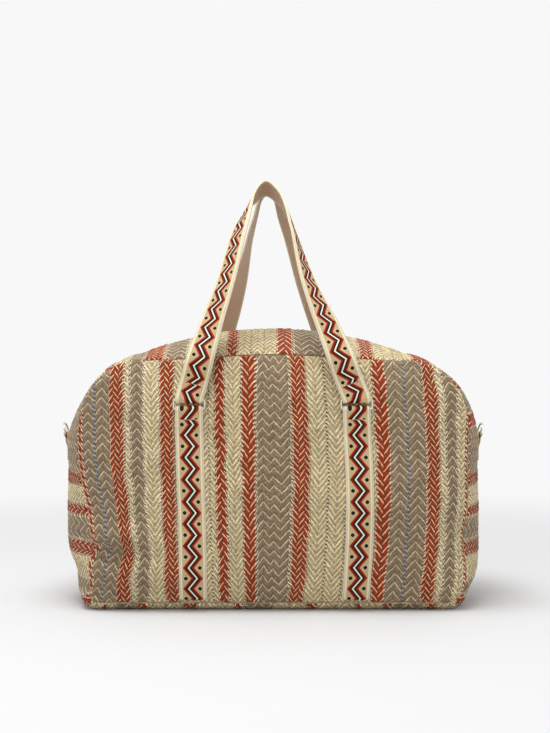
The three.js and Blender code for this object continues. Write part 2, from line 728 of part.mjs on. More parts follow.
function tabPath(barX) {
  const wall = SEAM_HALF_WIDTH + SIDE_BULGE;
  const at = (x, z) => new THREE.Vector3(x, 0, z);
  const behind = barX - LOOP_INNER;
  const path = [at(wall + 0.6, TAB_BOTTOM), at(wall + 0.6, D_BAR_HEIGHT - 22)];
  path.push(at(wall + 0.9, D_BAR_HEIGHT - 17), at(behind + 0.7, D_BAR_HEIGHT - 10));
  path.push(at(behind + 1.4, D_BAR_HEIGHT - 5));
  for (const angle of steps(0, Math.PI, 5)) {
    path.push(at(barX + LOOP_INNER * Math.cos(angle), D_BAR_HEIGHT + LOOP_INNER * Math.sin(angle)));
  }
  path.push(at(behind, D_BAR_HEIGHT - 5), at(behind, D_BAR_HEIGHT - 9));
  return path;
}

function dOutline(grow, Target) {
  const half = D_INNER_WIDTH / 2 + grow;
  const top = D_INNER_HEIGHT + grow;
  const outline = new Target();
  outline.moveTo(-half, -grow);
  outline.lineTo(half, -grow);
  outline.lineTo(half, top - half * 0.75);
  outline.absellipse(0, top - half * 0.75, half, half * 0.75, 0, Math.PI, false, 0);
  outline.closePath();
  return outline;
}

function dRingGeometry() {
  const bevel = WIRE * 0.28;
  const outer = dOutline(WIRE - bevel, THREE.Shape);
  outer.holes.push(dOutline(bevel, THREE.Path));
  const options = {
    depth: WIRE - 2 * bevel,
    bevelEnabled: true,
    bevelSize: bevel,
    bevelThickness: bevel,
    bevelSegments: 1,
    curveSegments: 8,
  };
  const geometry = new THREE.ExtrudeGeometry(outer, options);
  geometry.translate(0, WIRE / 2, -WIRE / 2 + bevel);
  geometry.rotateX(Math.PI / 2);
  return geometry.rotateZ(Math.PI / 2);
}

function addSideTabs() {
  const barX = SEAM_HALF_WIDTH + SIDE_BULGE + 0.6 + TAB_THICKNESS + LOOP_INNER;
  const path = tabPath(barX);
  const across = path.map(() => Y_AXIS.clone());
  for (const [name, turned] of [["left", true], ["right", false]]) {
    const side = new THREE.Group();
    side.rotation.z = turned ? Math.PI : 0;
    bag.add(side);
    addPiece(side, `d_ring_tab_${name}`, strip(path, across, TAB_WIDTH, 0, TAB_THICKNESS), "trim");
    const ring = addPiece(side, `d_ring_${name}`, dRingGeometry(), "metal");
    ring.position.set(barX, 0, D_BAR_HEIGHT);
    ring.rotation.y = THREE.MathUtils.degToRad(D_LEAN);
  }
}

addPanels();
addBase();
addSideGussets();
addZipGussets();
addPanelLinings();
addGussetLinings();
addBaseBoard();
addSlipPocket();
addZipTapes();
addZipEndCovers();
addSliders();
for (const [name, turned] of [["front", false], ["back", true]]) {
  addAnchorsAndRings(name, turned);
  addHandle(name, turned);
}
addSideTabs();

export default bag;
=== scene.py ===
# Weekender bag: the fabrics, straps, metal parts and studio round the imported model.
# Lengths are millimetres unless a name says otherwise; meshes are made in metres.
import math

import bpy
import numpy as np
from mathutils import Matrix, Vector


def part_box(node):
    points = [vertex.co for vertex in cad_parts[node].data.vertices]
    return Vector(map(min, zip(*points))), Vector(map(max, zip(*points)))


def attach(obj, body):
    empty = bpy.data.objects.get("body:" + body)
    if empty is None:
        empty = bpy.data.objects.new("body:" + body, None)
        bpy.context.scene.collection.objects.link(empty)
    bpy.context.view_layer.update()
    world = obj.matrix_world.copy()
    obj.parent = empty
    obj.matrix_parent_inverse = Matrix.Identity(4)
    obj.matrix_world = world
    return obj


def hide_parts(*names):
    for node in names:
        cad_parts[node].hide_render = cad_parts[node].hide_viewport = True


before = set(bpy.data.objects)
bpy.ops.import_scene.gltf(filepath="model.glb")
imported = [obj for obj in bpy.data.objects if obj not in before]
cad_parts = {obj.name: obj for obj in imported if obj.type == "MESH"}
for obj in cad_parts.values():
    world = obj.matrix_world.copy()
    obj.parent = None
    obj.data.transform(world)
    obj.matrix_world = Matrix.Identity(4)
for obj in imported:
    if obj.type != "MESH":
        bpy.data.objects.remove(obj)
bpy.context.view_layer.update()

MM = 0.001


def box_mm(node):
    """A CAD node's lowest and highest corner in millimetres."""
    low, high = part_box(node)
    return np.array(low) / MM, np.array(high) / MM


# ---------------------------------------------------------------- driving sizes

SEAM_HALF_WIDTH = 242.0
SEAM_HALF_DEPTH = round(-box_mm("front_panel")[1][1] + 2.5, 1)
SEAM_BOTTOM = round(box_mm("front_panel")[0][2], 1)
SHOULDER_TOP = 310.0
SHOULDER_START = 212.0
SHOULDER_WIDTH = 72.0
SHOULDER_RISE = SHOULDER_TOP - SHOULDER_START
SHOULDER_X = SEAM_HALF_WIDTH - SHOULDER_WIDTH
SHOULDER_HOLLOW = 10.0
CORNER_RADIUS = 28.0
CROWN_RISE = 7.0
CROWN_RADIUS = 460.0
CROWN_TOP = 352.0
PANEL_BULGE = 20.0
SIDE_BULGE = 24.0
BASE_ROUNDING = 0.2
FABRIC = 2.2
LINING_DEPTH = 5.0

FLAT_HALF = SEAM_HALF_WIDTH - CORNER_RADIUS
CORNER_LENGTH = CORNER_RADIUS * math.pi / 2
SIDE_FROM = FLAT_HALF + CORNER_LENGTH
SHOULDER_FROM = SIDE_FROM + SHOULDER_START - SEAM_BOTTOM - CORNER_RADIUS
SHOULDER_LENGTH = (SHOULDER_WIDTH + SHOULDER_RISE) * math.pi / 4
CROWN_FROM = SHOULDER_FROM + SHOULDER_LENGTH
HALF_LOOP = CROWN_FROM + SHOULDER_X
ZIP_END = 223.0
ZIP_FROM = SHOULDER_FROM + ZIP_END - SHOULDER_START
ZIP_TRAVEL = HALF_LOOP - ZIP_FROM
ZIP_SLOT_HALF = 7.0
VALLEY_HALF = 15.0
VALLEY_DEPTH = 5.0
CELL = 1.25

STRAP_WIDTH = 34.0
BORDER_FROM = 14.8
RIBBON_WIDTH = 30.0
BACKING = 1.2
RIBBON = 1.0
LAYER_GAP = 0.5
STANDOFF = 0.7
ANCHOR_X = 102.0
ANCHOR_BOTTOM = 16.0
WIRE = 2.6
LOOP_INNER = WIRE / 2 + 0.45
LOOP_OUTER = LOOP_INNER + BACKING + LAYER_GAP + RIBBON
RING_HEIGHT = 250.0
RING_INNER = (35.2, 9.0)
BAR_SPACING = RING_INNER[1] + WIRE
RING_BOX = box_mm("ring_front_left")
BAR_DEPTH = -float(RING_BOX[0][1] + RING_BOX[1][1]) / 2

D_BAR_HEIGHT = 214.0
D_INNER = (21.4, 13.0)
D_LEAN = math.radians(15)
TAB_WIDTH = 20.0
TAB_BOTTOM = 180.0
WALL = SEAM_HALF_WIDTH + SIDE_BULGE
D_BAR_X = WALL + 0.6 + 1.6 + LOOP_INNER


# ---------------------------------------------------------------- colours and cloth


def linear(red, green, blue):
    """A screen colour, 0 to 255, as the linear colour that materials use."""
    share = np.array([red, green, blue]) / 255
    return tuple(np.where(share <= 0.04045, share / 12.92, ((share + 0.055) / 1.055) ** 2.4))


CREAM = linear(174, 156, 119)
CREAM_YARN = linear(219, 205, 168)
TAUPE = linear(128, 110, 86)
TAUPE_YARN = linear(200, 184, 158)
RUST = linear(138, 46, 15)
RUST_YARN = linear(208, 182, 142)
DARK = linear(70, 60, 46)
BLUE = linear(94, 99, 110)
RIBBON_GROUND = linear(178, 155, 112)
RIBBON_EDGE = linear(210, 200, 170)
RIBBON_RED = linear(152, 20, 14)
RIBBON_DARK = linear(34, 21, 10)
RIBBON_LIGHT = linear(218, 215, 192)
TAN = linear(178, 150, 124)
TAN_EDGE = linear(198, 186, 160)
THREAD = linear(218, 208, 184)
LOOP_TONE = linear(226, 212, 182)
BACKDROP = linear(248, 248, 248)
FLOOR_TONE = (0.58, 0.577, 0.574)
THREADS_IN_REPEAT = 5

# Each kind of stripe: base and yarn colours, the yarns' pitch along the stripe and slope across
# it, the drawn yarn's width as a share of the pitch, whether the yarn (1) or the ground between
# the yarns (0) stands proud, the relief's height, and the shift from one column to the next.
KIND_VALUES = ("base", "yarn", "pitch", "slope", "ridge", "proud", "relief", "shift")
KIND_TABLE = {
    "rust": (RUST, RUST_YARN, 11.1, 1.3, 0.1, 0, 1.0, 0.5),
    "braid": (RUST, RUST_YARN, 8.4, 1.35, 0.12, 0, 0.9, 0.5),
    "taupe": (TAUPE, TAUPE_YARN, 11.3, 1.2, 0.085, 1, 0.8, 0),
    "cream": (CREAM, CREAM_YARN, 7.8, 1.35, 0.2, 1, 0.8, 0),
    "dark": (DARK, CREAM_YARN, 4.6, 0.9, 0.3, 1, 0.1, 0),
    "blue": (BLUE, TAUPE_YARN, 5.6, 0.9, 0.12, 1, 0.2, 0),
}
KINDS = {kind: dict(zip(KIND_VALUES, values)) for kind, values in KIND_TABLE.items()}

# Stripes in order: a kind, its width and its number of columns. The yarns of the first column
# fall away from the start; a negative number turns them all round, and a list gives each
# column's own width.
DARK_LINE = ("dark", 1.4, 1)
BLUE_LINE = ("blue", 2.4, 1)
UNEVEN_TAUPE = ("taupe", 42.0, [-9.0, 8.0, -5.0, 7.5, -10.0, 2.5])
BLUE_TAUPE = [("taupe", 17.4, -2), BLUE_LINE, ("taupe", 17.4, -2)]
FRONT_STRIPES = [
    ("rust", 7.4, 1), ("taupe", 13.0, -2), BLUE_LINE, ("taupe", 16.7, -2), ("braid", 19.8, -3),
    ("cream", 6.2, 1), ("taupe", 17.3, -2), ("cream", 19.1, 2), ("braid", 19.1, -3),
    ("cream", 18.5, 2), DARK_LINE, ("cream", 20.3, 2), DARK_LINE, ("cream", 6.5, 1),
    ("rust", 14.2, -2), ("cream", 19.1, 2), ("rust", 18.5, 2), UNEVEN_TAUPE, ("braid", 21.0, 3),
    ("cream", 20.9, 2), DARK_LINE, ("cream", 19.8, 2), DARK_LINE, ("cream", 21.2, 2), DARK_LINE,
    ("cream", 14.1, 2), ("rust", 18.5, 2), ("taupe", 20.4, -2), BLUE_LINE, ("taupe", 20.4, -2),
    ("braid", 18.5, -3), ("cream", 7.4, 1), ("taupe", 16.7, -2), ("cream", 10.9, 2),
    ("rust", 5.8, 1),
]
BACK_STRIPES = [
    ("cream", 9.0, 1), ("rust", 14.2, -2), ("cream", 19.1, 2), ("rust", 18.5, 2), *BLUE_TAUPE,
    ("braid", 19.1, 3), ("cream", 21.6, 2), DARK_LINE, ("cream", 20.0, 2), DARK_LINE,
    ("cream", 21.2, 2), ("rust", 18.5, 2), UNEVEN_TAUPE, ("braid", 19.1, -3), ("cream", 6.8, 1),
    ("taupe", 17.0, -2), ("cream", 19.1, 2), ("braid", 19.1, -3), ("cream", 16.0, 2), DARK_LINE,
    ("cream", 16.0, 2), ("rust", 14.2, -2), ("cream", 19.1, 2), ("rust", 18.5, 2), *BLUE_TAUPE,
    ("braid", 19.1, 3), ("cream", 13.0, 2),
]
TOP_STRIPES = [
    ("taupe", 29.0, -3), BLUE_LINE, ("taupe", 28.0, -3), ("cream", 16.6, 2), ("rust", 15.0, 2),
    ("cream", 23.0, 2), ("taupe", 19.0, -2), ("braid", 25.0, 3), ("taupe", 28.0, -3),
    ("cream", 10.0, 1), ("rust", 19.0, 2), ("cream", 19.0, 2), ("rust", 15.0, -2),
    ("cream", 15.0, 2), DARK_LINE, ("cream", 15.0, 2), DARK_LINE, ("cream", 14.2, 2),
    ("rust", 21.0, 2), ("taupe", 42.0, -4), ("cream", 18.8, 2), DARK_LINE, ("cream", 18.8, 2),
    ("braid", 19.0, 3), ("cream", 22.8, 2), DARK_LINE, ("cream", 22.8, 2), ("rust", 27.0, 3),
    ("cream", 14.0, 2), ("taupe", 15.0, -2), ("braid", 22.0, 3), ("taupe", 11.3, -1), BLUE_LINE,
    ("taupe", 11.3, -1), ("rust", 17.0, 2),
]
SIDE_STRIPES = [
    ("cream", 14.0, 2), ("rust", 14.0, 2), ("taupe", 18.0, -2), ("cream", 27.0, 2),
    ("braid", 19.0, 3), ("taupe", 30.0, -3), ("rust", 15.0, 2), ("cream", 23.0, 2),
    ("braid", 17.0, -3), ("taupe", 24.8, -2), BLUE_LINE, ("taupe", 24.8, -2),
]
BASE_STRIPES = [
    ("rust", 8.0, 1), ("cream", 9.0, 1), ("taupe", 28.0, -3), ("rust", 15.0, 2),
    ("cream", 20.0, 2), DARK_LINE, ("cream", 20.6, 2), ("braid", 19.0, 3), ("cream", 22.5, 2),
    ("cream", 22.5, -2), ("rust", 11.0, 2), ("taupe", 38.0, -4), ("cream", 19.0, 2), DARK_LINE,
    ("cream", 19.6, 2), ("rust", 13.0, 2), ("cream", 23.0, 2), DARK_LINE, ("cream", 23.6, 2),
    ("rust", 9.0, -1), ("cream", 25.0, 3), ("rust", 10.0, 2), ("taupe", 43.0, -4),
    ("braid", 15.0, 3), ("cream", 10.0, 1),
]


def widths_of(width, columns):
    """The signed widths of a stripe's columns."""
    if isinstance(columns, list):
        return columns
    count = abs(columns)
    turn = 1 if columns > 0 else -1
    return [turn * (-1) ** place * width / count for place in range(count)]


# Thin stripes that the yarns run past without loops at their borders.
QUIET = ("blue", "dark")
PLAIN_EDGE = 4.0
STRIPE_SHIFT = 1.7
RIM_LINES = np.array([0.5, 1.1, 1.9, 2.9])
CLOSEST_LINES = 0.25


def columns_of(stripes, start, end):
    """The columns of a list of stripes, scaled to lie from start to end."""
    scale = (end - start) / sum(width for _, width, _ in stripes)
    columns, at, fall = [], start, 0.0
    for number, (kind, width, count) in enumerate(stripes):
        look = KINDS[kind]
        beside = [stripes[n][0] for n in (number - 1, number + 1) if 0 <= n < len(stripes)]
        margin = PLAIN_EDGE * (kind in QUIET or any(name in QUIET for name in beside))
        edges = (at - margin, at + scale * width + margin)
        for place, signed in enumerate(widths_of(width, count)):
            wide = abs(signed) * scale
            slope = math.copysign(look["slope"], signed)
            shift = look["shift"] * look["pitch"] * (place % 2) + STRIPE_SHIFT * number
            own = dict(start=at, wide=wide, slope=slope, offset=fall + shift - slope * at)
            columns.append({**look, **own, "edges": edges})
            fall += slope * wide
            at += wide
    return columns


def column_lines(columns):
    """Lines across the columns, one cell or so apart, and the column of each gap."""
    lines, owner = [columns[0]["start"]], []
    for number, column in enumerate(columns):
        count = max(int(round(column["wide"] / CELL)), 1)
        lines += [column["start"] + column["wide"] * (step + 1) / count for step in range(count)]
        owner += [number] * count
    for extra in np.concatenate([lines[0] + RIM_LINES, lines[-1] - RIM_LINES]):
        place = int(np.searchsorted(lines, extra))
        if min(abs(lines[place] - extra), abs(lines[place - 1] - extra)) > CLOSEST_LINES:
            lines.insert(place, float(extra))
            owner.insert(place - 1, owner[place - 1])
    return np.array(lines), np.array(owner)


def even_lines(start, end):
    """Lines from start to end, one cell or so apart and closer at the two rims."""
    count = int(round((end - start - 8) / CELL))
    inner = np.linspace(start + 4, end - 4, count + 1)
    return np.concatenate([[start], start + RIM_LINES, inner, (end - RIM_LINES)[::-1], [end]])


def column_values(columns, owner, *keys):
    """The named values of each owner's column, one array for each name."""
    return [np.array([columns[k][key] for k in owner], float) for key in keys]


def weave_turn(columns, owner, u, v):
    """Where points lie in the yarns' repeat; owner gives each point's column."""
    offset, slope, pitch = column_values(columns, owner, "offset", "slope", "pitch")
    return ((v.T + offset + slope * u.T) / pitch).T


def weave_relief(columns, owner, u, v):
    """How far the woven yarns stand out at each grid point; owner gives each row's column."""
    values = column_values(columns, owner, "start", "wide", "ridge", "proud", "relief")
    start, wide, ridge, proud, relief = (value[:, None] for value in values)
    share = np.clip((u - start) / wide, 0, 1)
    turn = weave_turn(columns, owner, u, v)
    near = np.abs(turn - np.round(turn))
    across = 1 - np.abs(2 * share - 1) ** 4
    pads = 1 - (1 - 2 * near) ** 5
    ridges = np.exp(-((near / (1.2 * ridge)) ** 2))
    return relief * across * np.where(proud > 0.5, ridges, pads)


# ---------------------------------------------------------------- the shell's shape
# Arrays in, arrays out. A point is three arrays: x, y, z in millimetres.


def smooth(value):
    """An eased step: 0 below 0 and 1 above 1."""
    t = np.clip(value, 0, 1)
    return t * t * (3 - 2 * t)


def waves(seed, count, shortest, longest):
    """A gentle wander over a sheet: the same sum of waves each run."""
    draw = np.random.default_rng(seed)
    turns = draw.uniform(0, 2 * np.pi, (count, 2))
    spans = draw.uniform(shortest, longest, count)

    def wander(u, v):
        total = 0
        for (heading, phase), span in zip(turns, spans):
            along = u * math.cos(heading) + v * math.sin(heading)
            total = total + np.sin(2 * np.pi * along / span + phase)
        return total / count**0.5

    return wander


def crown_height(x):
    return CROWN_TOP - CROWN_RADIUS + np.sqrt(CROWN_RADIUS**2 - x**2)


def seam_top(x):
    reach = np.abs(x)
    t = np.clip((reach - SHOULDER_X) / SHOULDER_WIDTH, 0, 1)
    shoulder = SHOULDER_START + SHOULDER_RISE * np.sqrt(np.maximum(1 - t * t, 0))
    crown = SHOULDER_TOP + CROWN_RISE / 2 * (1 + np.cos(np.pi * x / SHOULDER_X))
    return np.where(reach > SHOULDER_X, shoulder, crown)


def seam_foot(x):
    t = np.clip((np.abs(x) - FLAT_HALF) / CORNER_RADIUS, 0, 1)
    return SEAM_BOTTOM + CORNER_RADIUS * (1 - np.sqrt(1 - t * t))


def panel_bulge(x, height):
    across = 1 - np.abs(x / SEAM_HALF_WIDTH) ** 5
    return PANEL_BULGE * (1 - np.abs(2 * height - 1) ** 3.5) * across


def panel_depth_at(x, z):
    height = (z - seam_foot(x)) / (seam_top(x) - seam_foot(x))
    return SEAM_HALF_DEPTH + panel_bulge(x, np.clip(height, 0, 1))


def panel_surface(side):
    """A panel by x and share of the height, 0 at the foot and 1 at the top."""

    def surface(x, height):
        foot, top = seam_foot(x), seam_top(x)
        y = side * (SEAM_HALF_DEPTH + panel_bulge(x, height))
        return np.stack([x + 0 * height, y, foot + (top - foot) * height], -1)

    return surface


def seam_at(distance):
    """The seam outline by distance from the bottom centre: x, z, normal, bulge, rounding."""
    d = np.abs(distance)
    corner = np.clip((d - FLAT_HALF) / CORNER_RADIUS, 0, math.pi / 2)
    turn = np.clip((d - SHOULDER_FROM) / SHOULDER_LENGTH, 0, 1)
    angle = turn * math.pi / 2
    x_low = np.minimum(d, FLAT_HALF) + CORNER_RADIUS * np.sin(corner)
    z_low = SEAM_BOTTOM + CORNER_RADIUS * (1 - np.cos(corner)) + np.clip(d - SIDE_FROM, 0, None)
    x_top = np.clip(SHOULDER_X - (d - CROWN_FROM), 0, SHOULDER_X)
    steep = np.hypot(np.cos(angle) / SHOULDER_WIDTH, np.sin(angle) / SHOULDER_RISE)
    on_shoulder, on_crown = d > SHOULDER_FROM, d > CROWN_FROM
    x = np.where(on_shoulder, SHOULDER_X + SHOULDER_WIDTH * np.cos(angle), x_low)
    z = np.where(on_shoulder, SHOULDER_START + SHOULDER_RISE * np.sin(angle), z_low)
    nx = np.where(on_shoulder, np.cos(angle) / SHOULDER_WIDTH / steep, np.sin(corner))
    nz = np.where(on_shoulder, np.sin(angle) / SHOULDER_RISE / steep, -np.cos(corner))
    round_share = smooth(corner / (math.pi / 2))
    crown_bulge = float(crown_height(SHOULDER_X) - SHOULDER_TOP)
    side_bulge = SEAM_BOTTOM + (SIDE_BULGE - SEAM_BOTTOM) * round_share
    hollow = SHOULDER_HOLLOW * np.sin(np.pi * turn)
    shoulder_bulge = SIDE_BULGE + (crown_bulge - SIDE_BULGE) * turn - hollow
    bulge = np.where(on_shoulder, shoulder_bulge, side_bulge)
    x, z = np.where(on_crown, x_top, x), np.where(on_crown, seam_top(x_top), z)
    nx, nz = np.where(on_crown, 0, nx), np.where(on_crown, 1, nz)
    bulge = np.where(on_crown, crown_height(x_top) - seam_top(x_top), bulge)
    return x, z, nx, nz, bulge, round_share


def gusset_surface(distance, share):
    """The gusset by distance along the seam and share of the half depth, -1 front, 1 back."""
    x, z, nx, nz, bulge, round_share = seam_at(distance)
    edge = np.clip((np.abs(share) - 1 + BASE_ROUNDING) / BASE_ROUNDING, 0, None)
    rise = bulge * ((1 - edge**2) * (1 - round_share) + (1 - share * share) * round_share)
    side = np.where(distance < 0, -1, 1)
    return np.stack([side * (x + nx * rise), share * SEAM_HALF_DEPTH + 0 * x, z + nz * rise], -1)


def crown_distance(travel):
    """Distance along the seam for a travel over the top, 0 in the middle, negative left."""
    return np.where(travel < 0, -(HALF_LOOP + travel), HALF_LOOP - travel)


def crown_line(travel):
    """The line over the top in the plane y = 0, and its outward normal."""
    step = 0.5
    point = gusset_surface(crown_distance(travel), 0 * travel)
    reach = np.clip(travel, -HALF_LOOP, HALF_LOOP)
    before = gusset_surface(crown_distance(reach - step), 0 * travel)
    after = gusset_surface(crown_distance(reach + step), 0 * travel)
    along = after - before
    normal = np.stack([-along[..., 2], 0 * along[..., 1], along[..., 0]], -1)
    normal = normal / np.linalg.norm(normal, axis=-1, keepdims=True)
    point[..., 1] = 0.0
    return point, normal


def zip_gusset_surface(travel, share):
    offset = np.abs(share) * SEAM_HALF_DEPTH
    dip = VALLEY_DEPTH * smooth((VALLEY_HALF - offset) / (VALLEY_HALF - ZIP_SLOT_HALF))
    _, normal = crown_line(travel)
    return gusset_surface(crown_distance(travel), share) - normal * np.asarray(dip)[..., None]


# ---------------------------------------------------------------- making meshes


BAG_CENTRE = (0.0, 0.0, 170.0)


def unit(vectors):
    return vectors / np.maximum(np.linalg.norm(vectors, axis=-1, keepdims=True), 1e-9)


def grid_normals(points):
    """Unit normals of a grid of points, away from the centre of the bag."""
    across = np.gradient(points, axis=0)
    along = np.gradient(points, axis=1)
    normals = unit(np.cross(across, along))
    middle = points.reshape(-1, 3).mean(0) - np.array(BAG_CENTRE)
    if normals.reshape(-1, 3).mean(0) @ middle < 0:
        normals = -normals
    return normals


def new_object(name, points, faces, material, body, smooth_faces=True):
    """A mesh object from points in millimetres, riding on a CAD body."""
    mesh = bpy.data.meshes.new(name)
    mesh.from_pydata([tuple(p) for p in (np.asarray(points) * MM).tolist()], [], faces)
    mesh.validate()
    mesh.shade_smooth() if smooth_faces else mesh.shade_flat()
    mesh.materials.append(material)
    thing = bpy.data.objects.new(name, mesh)
    bpy.context.scene.collection.objects.link(thing)
    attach(thing, body)
    return thing


def finish_piece(thing, nodes):
    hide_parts(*nodes)
    return thing


def coarse_indices(count, step):
    """Every so many of count lines, and the last one."""
    picked = list(range(0, count, step))
    if picked[-1] != count - 1:
        picked.append(count - 1)
    return picked


def quads_of(number):
    """The quads of a grid of point numbers."""
    corners = [number[:-1, :-1], number[1:, :-1], number[1:, 1:], number[:-1, 1:]]
    return np.stack(corners, -1).reshape(-1, 4)


def cloth_slab(outer, inner_depth, normals, step=8):
    """Points and faces of a closed body: a fine outer grid and a coarse inner grid joined at
    the rim. The faces of the outer grid come first."""
    rows, columns = outer.shape[:2]
    number = np.arange(rows * columns).reshape(rows, columns)
    quads = quads_of(number)
    u_pick, v_pick = coarse_indices(rows, step), coarse_indices(columns, step)
    inner = (outer - normals * inner_depth)[np.ix_(u_pick, v_pick)]
    base = rows * columns
    inside = base + np.arange(inner.shape[0] * inner.shape[1]).reshape(inner.shape[:2])
    back = quads_of(inside)[:, [0, 3, 2, 1]]
    points = np.concatenate([outer.reshape(-1, 3), inner.reshape(-1, 3)])
    rim = []
    for k in range(len(u_pick) - 1):
        a, b = u_pick[k], u_pick[k + 1]
        rim.append(list(number[a : b + 1, -1]) + [inside[k + 1, -1], inside[k, -1]])
        rim.append(list(number[a : b + 1, 0])[::-1] + [inside[k, 0], inside[k + 1, 0]])
    for k in range(len(v_pick) - 1):
        a, b = v_pick[k], v_pick[k + 1]
        rim.append(list(number[0, a : b + 1]) + [inside[0, k + 1], inside[0, k]])
        rim.append(list(number[-1, a : b + 1])[::-1] + [inside[-1, k], inside[-1, k + 1]])
    faces = quads.tolist() + back.tolist() + [[int(i) for i in face] for face in rim]
    first = points[quads[:, 1]] - points[quads[:, 0]]
    second = points[quads[:, 3]] - points[quads[:, 0]]
    facing = np.einsum("ij,ij->i", np.cross(first, second), normals.reshape(-1, 3)[quads[:, 0]])
    if facing.sum() < 0:
        faces = [face[::-1] for face in faces]
    return points, faces


# ---------------------------------------------------------------- materials


class Value:
    """A number or colour inside a material; arithmetic on it adds nodes."""

    def __init__(self, nodes, socket):
        self.nodes, self.socket = nodes, socket

    def calc(self, operation, *others):
        inputs = dict(enumerate((self, *others)))
        return self.nodes.add("Math", inputs, operation=operation)

    def fold(self, span):
        """Up from 0 to span and back again."""
        return self.calc("PINGPONG", span)

    def __add__(self, other):
        return self.calc("ADD", other)

    def __sub__(self, other):
        return self.calc("SUBTRACT", other)

    def __rsub__(self, other):
        return self * -1 + other

    def __mul__(self, other):
        return self.calc("MULTIPLY", other)

    def __truediv__(self, other):
        return self.calc("DIVIDE", other)

    def __pow__(self, other):
        return self.calc("POWER", other)

    def __abs__(self):
        return self.calc("ABSOLUTE")


class Nodes:
    """A material and short calls that add its nodes."""

    def __init__(self, name):
        self.material = bpy.data.materials.new(name)
        self.material.use_nodes = True
        self.tree = self.material.node_tree
        self.shader = self.tree.nodes["Principled BSDF"]

    def put(self, socket, value):
        if isinstance(value, Value):
            self.tree.links.new(value.socket, socket)
        else:
            is_colour = socket.type == "RGBA" and len(value) == 3
            socket.default_value = (*value, 1) if is_colour else value

    def add(self, kind, inputs, output=0, **settings):
        """A node with its settings and inputs, as one of its outputs."""
        node = self.tree.nodes.new("ShaderNode" + kind)
        for key, value in settings.items():
            setattr(node, key, value)
        for place, value in inputs.items():
            self.put(node.inputs[place], value)
        return Value(self, node.outputs[output])

    def set(self, **values):
        for name, value in values.items():
            self.put(self.shader.inputs[name.replace("_", " ")], value)
        return self.material

    def ramp(self, value, low, high, start=0.0, end=1.0):
        """value from low to high becomes start to end, eased."""
        inputs = dict(enumerate((value, low, high, start, end)))
        return self.add("MapRange", inputs, interpolation_type="SMOOTHSTEP")

    def fall(self, value, low, high):
        """1 below low, eased down to 0 above high."""
        return self.ramp(value, low, high, 1.0, 0.0)

    def mix(self, factor, first, second, blend="MIX"):
        inputs = {0: factor, 6: first, 7: second}
        return self.add("Mix", inputs, 2, data_type="RGBA", blend_type=blend)

    def scaled(self, colour, amount):
        return self.add("VectorMath", {0: colour, 3: amount}, operation="SCALE")

    def attribute(self, name, output="Vector"):
        return self.add("Attribute", {}, output, attribute_name=name)

    def split(self, vector):
        outputs = self.add("SeparateXYZ", {0: vector}).socket.node.outputs
        return [Value(self, socket) for socket in outputs]

    def place(self):
        return self.add("TexCoord", {}, "Object")

    def strap_place(self):
        """The place on a strap, across and along, in millimetres."""
        return self.add("UVMap", {}, uv_map="strap")

    def noise(self, size, detail=2.0, stretch=(1, 1, 1)):
        """Noise whose blobs are about size metres."""
        place = self.add("VectorMath", {0: self.place(), 1: stretch}, operation="MULTIPLY")
        inputs = {"Vector": place, "Scale": 1 / size, "Detail": detail}
        return self.add("TexNoise", inputs, "Fac")

    def bump(self, height, distance, strength):
        inputs = {"Strength": strength, "Distance": distance, "Height": height}
        return self.add("Bump", inputs)


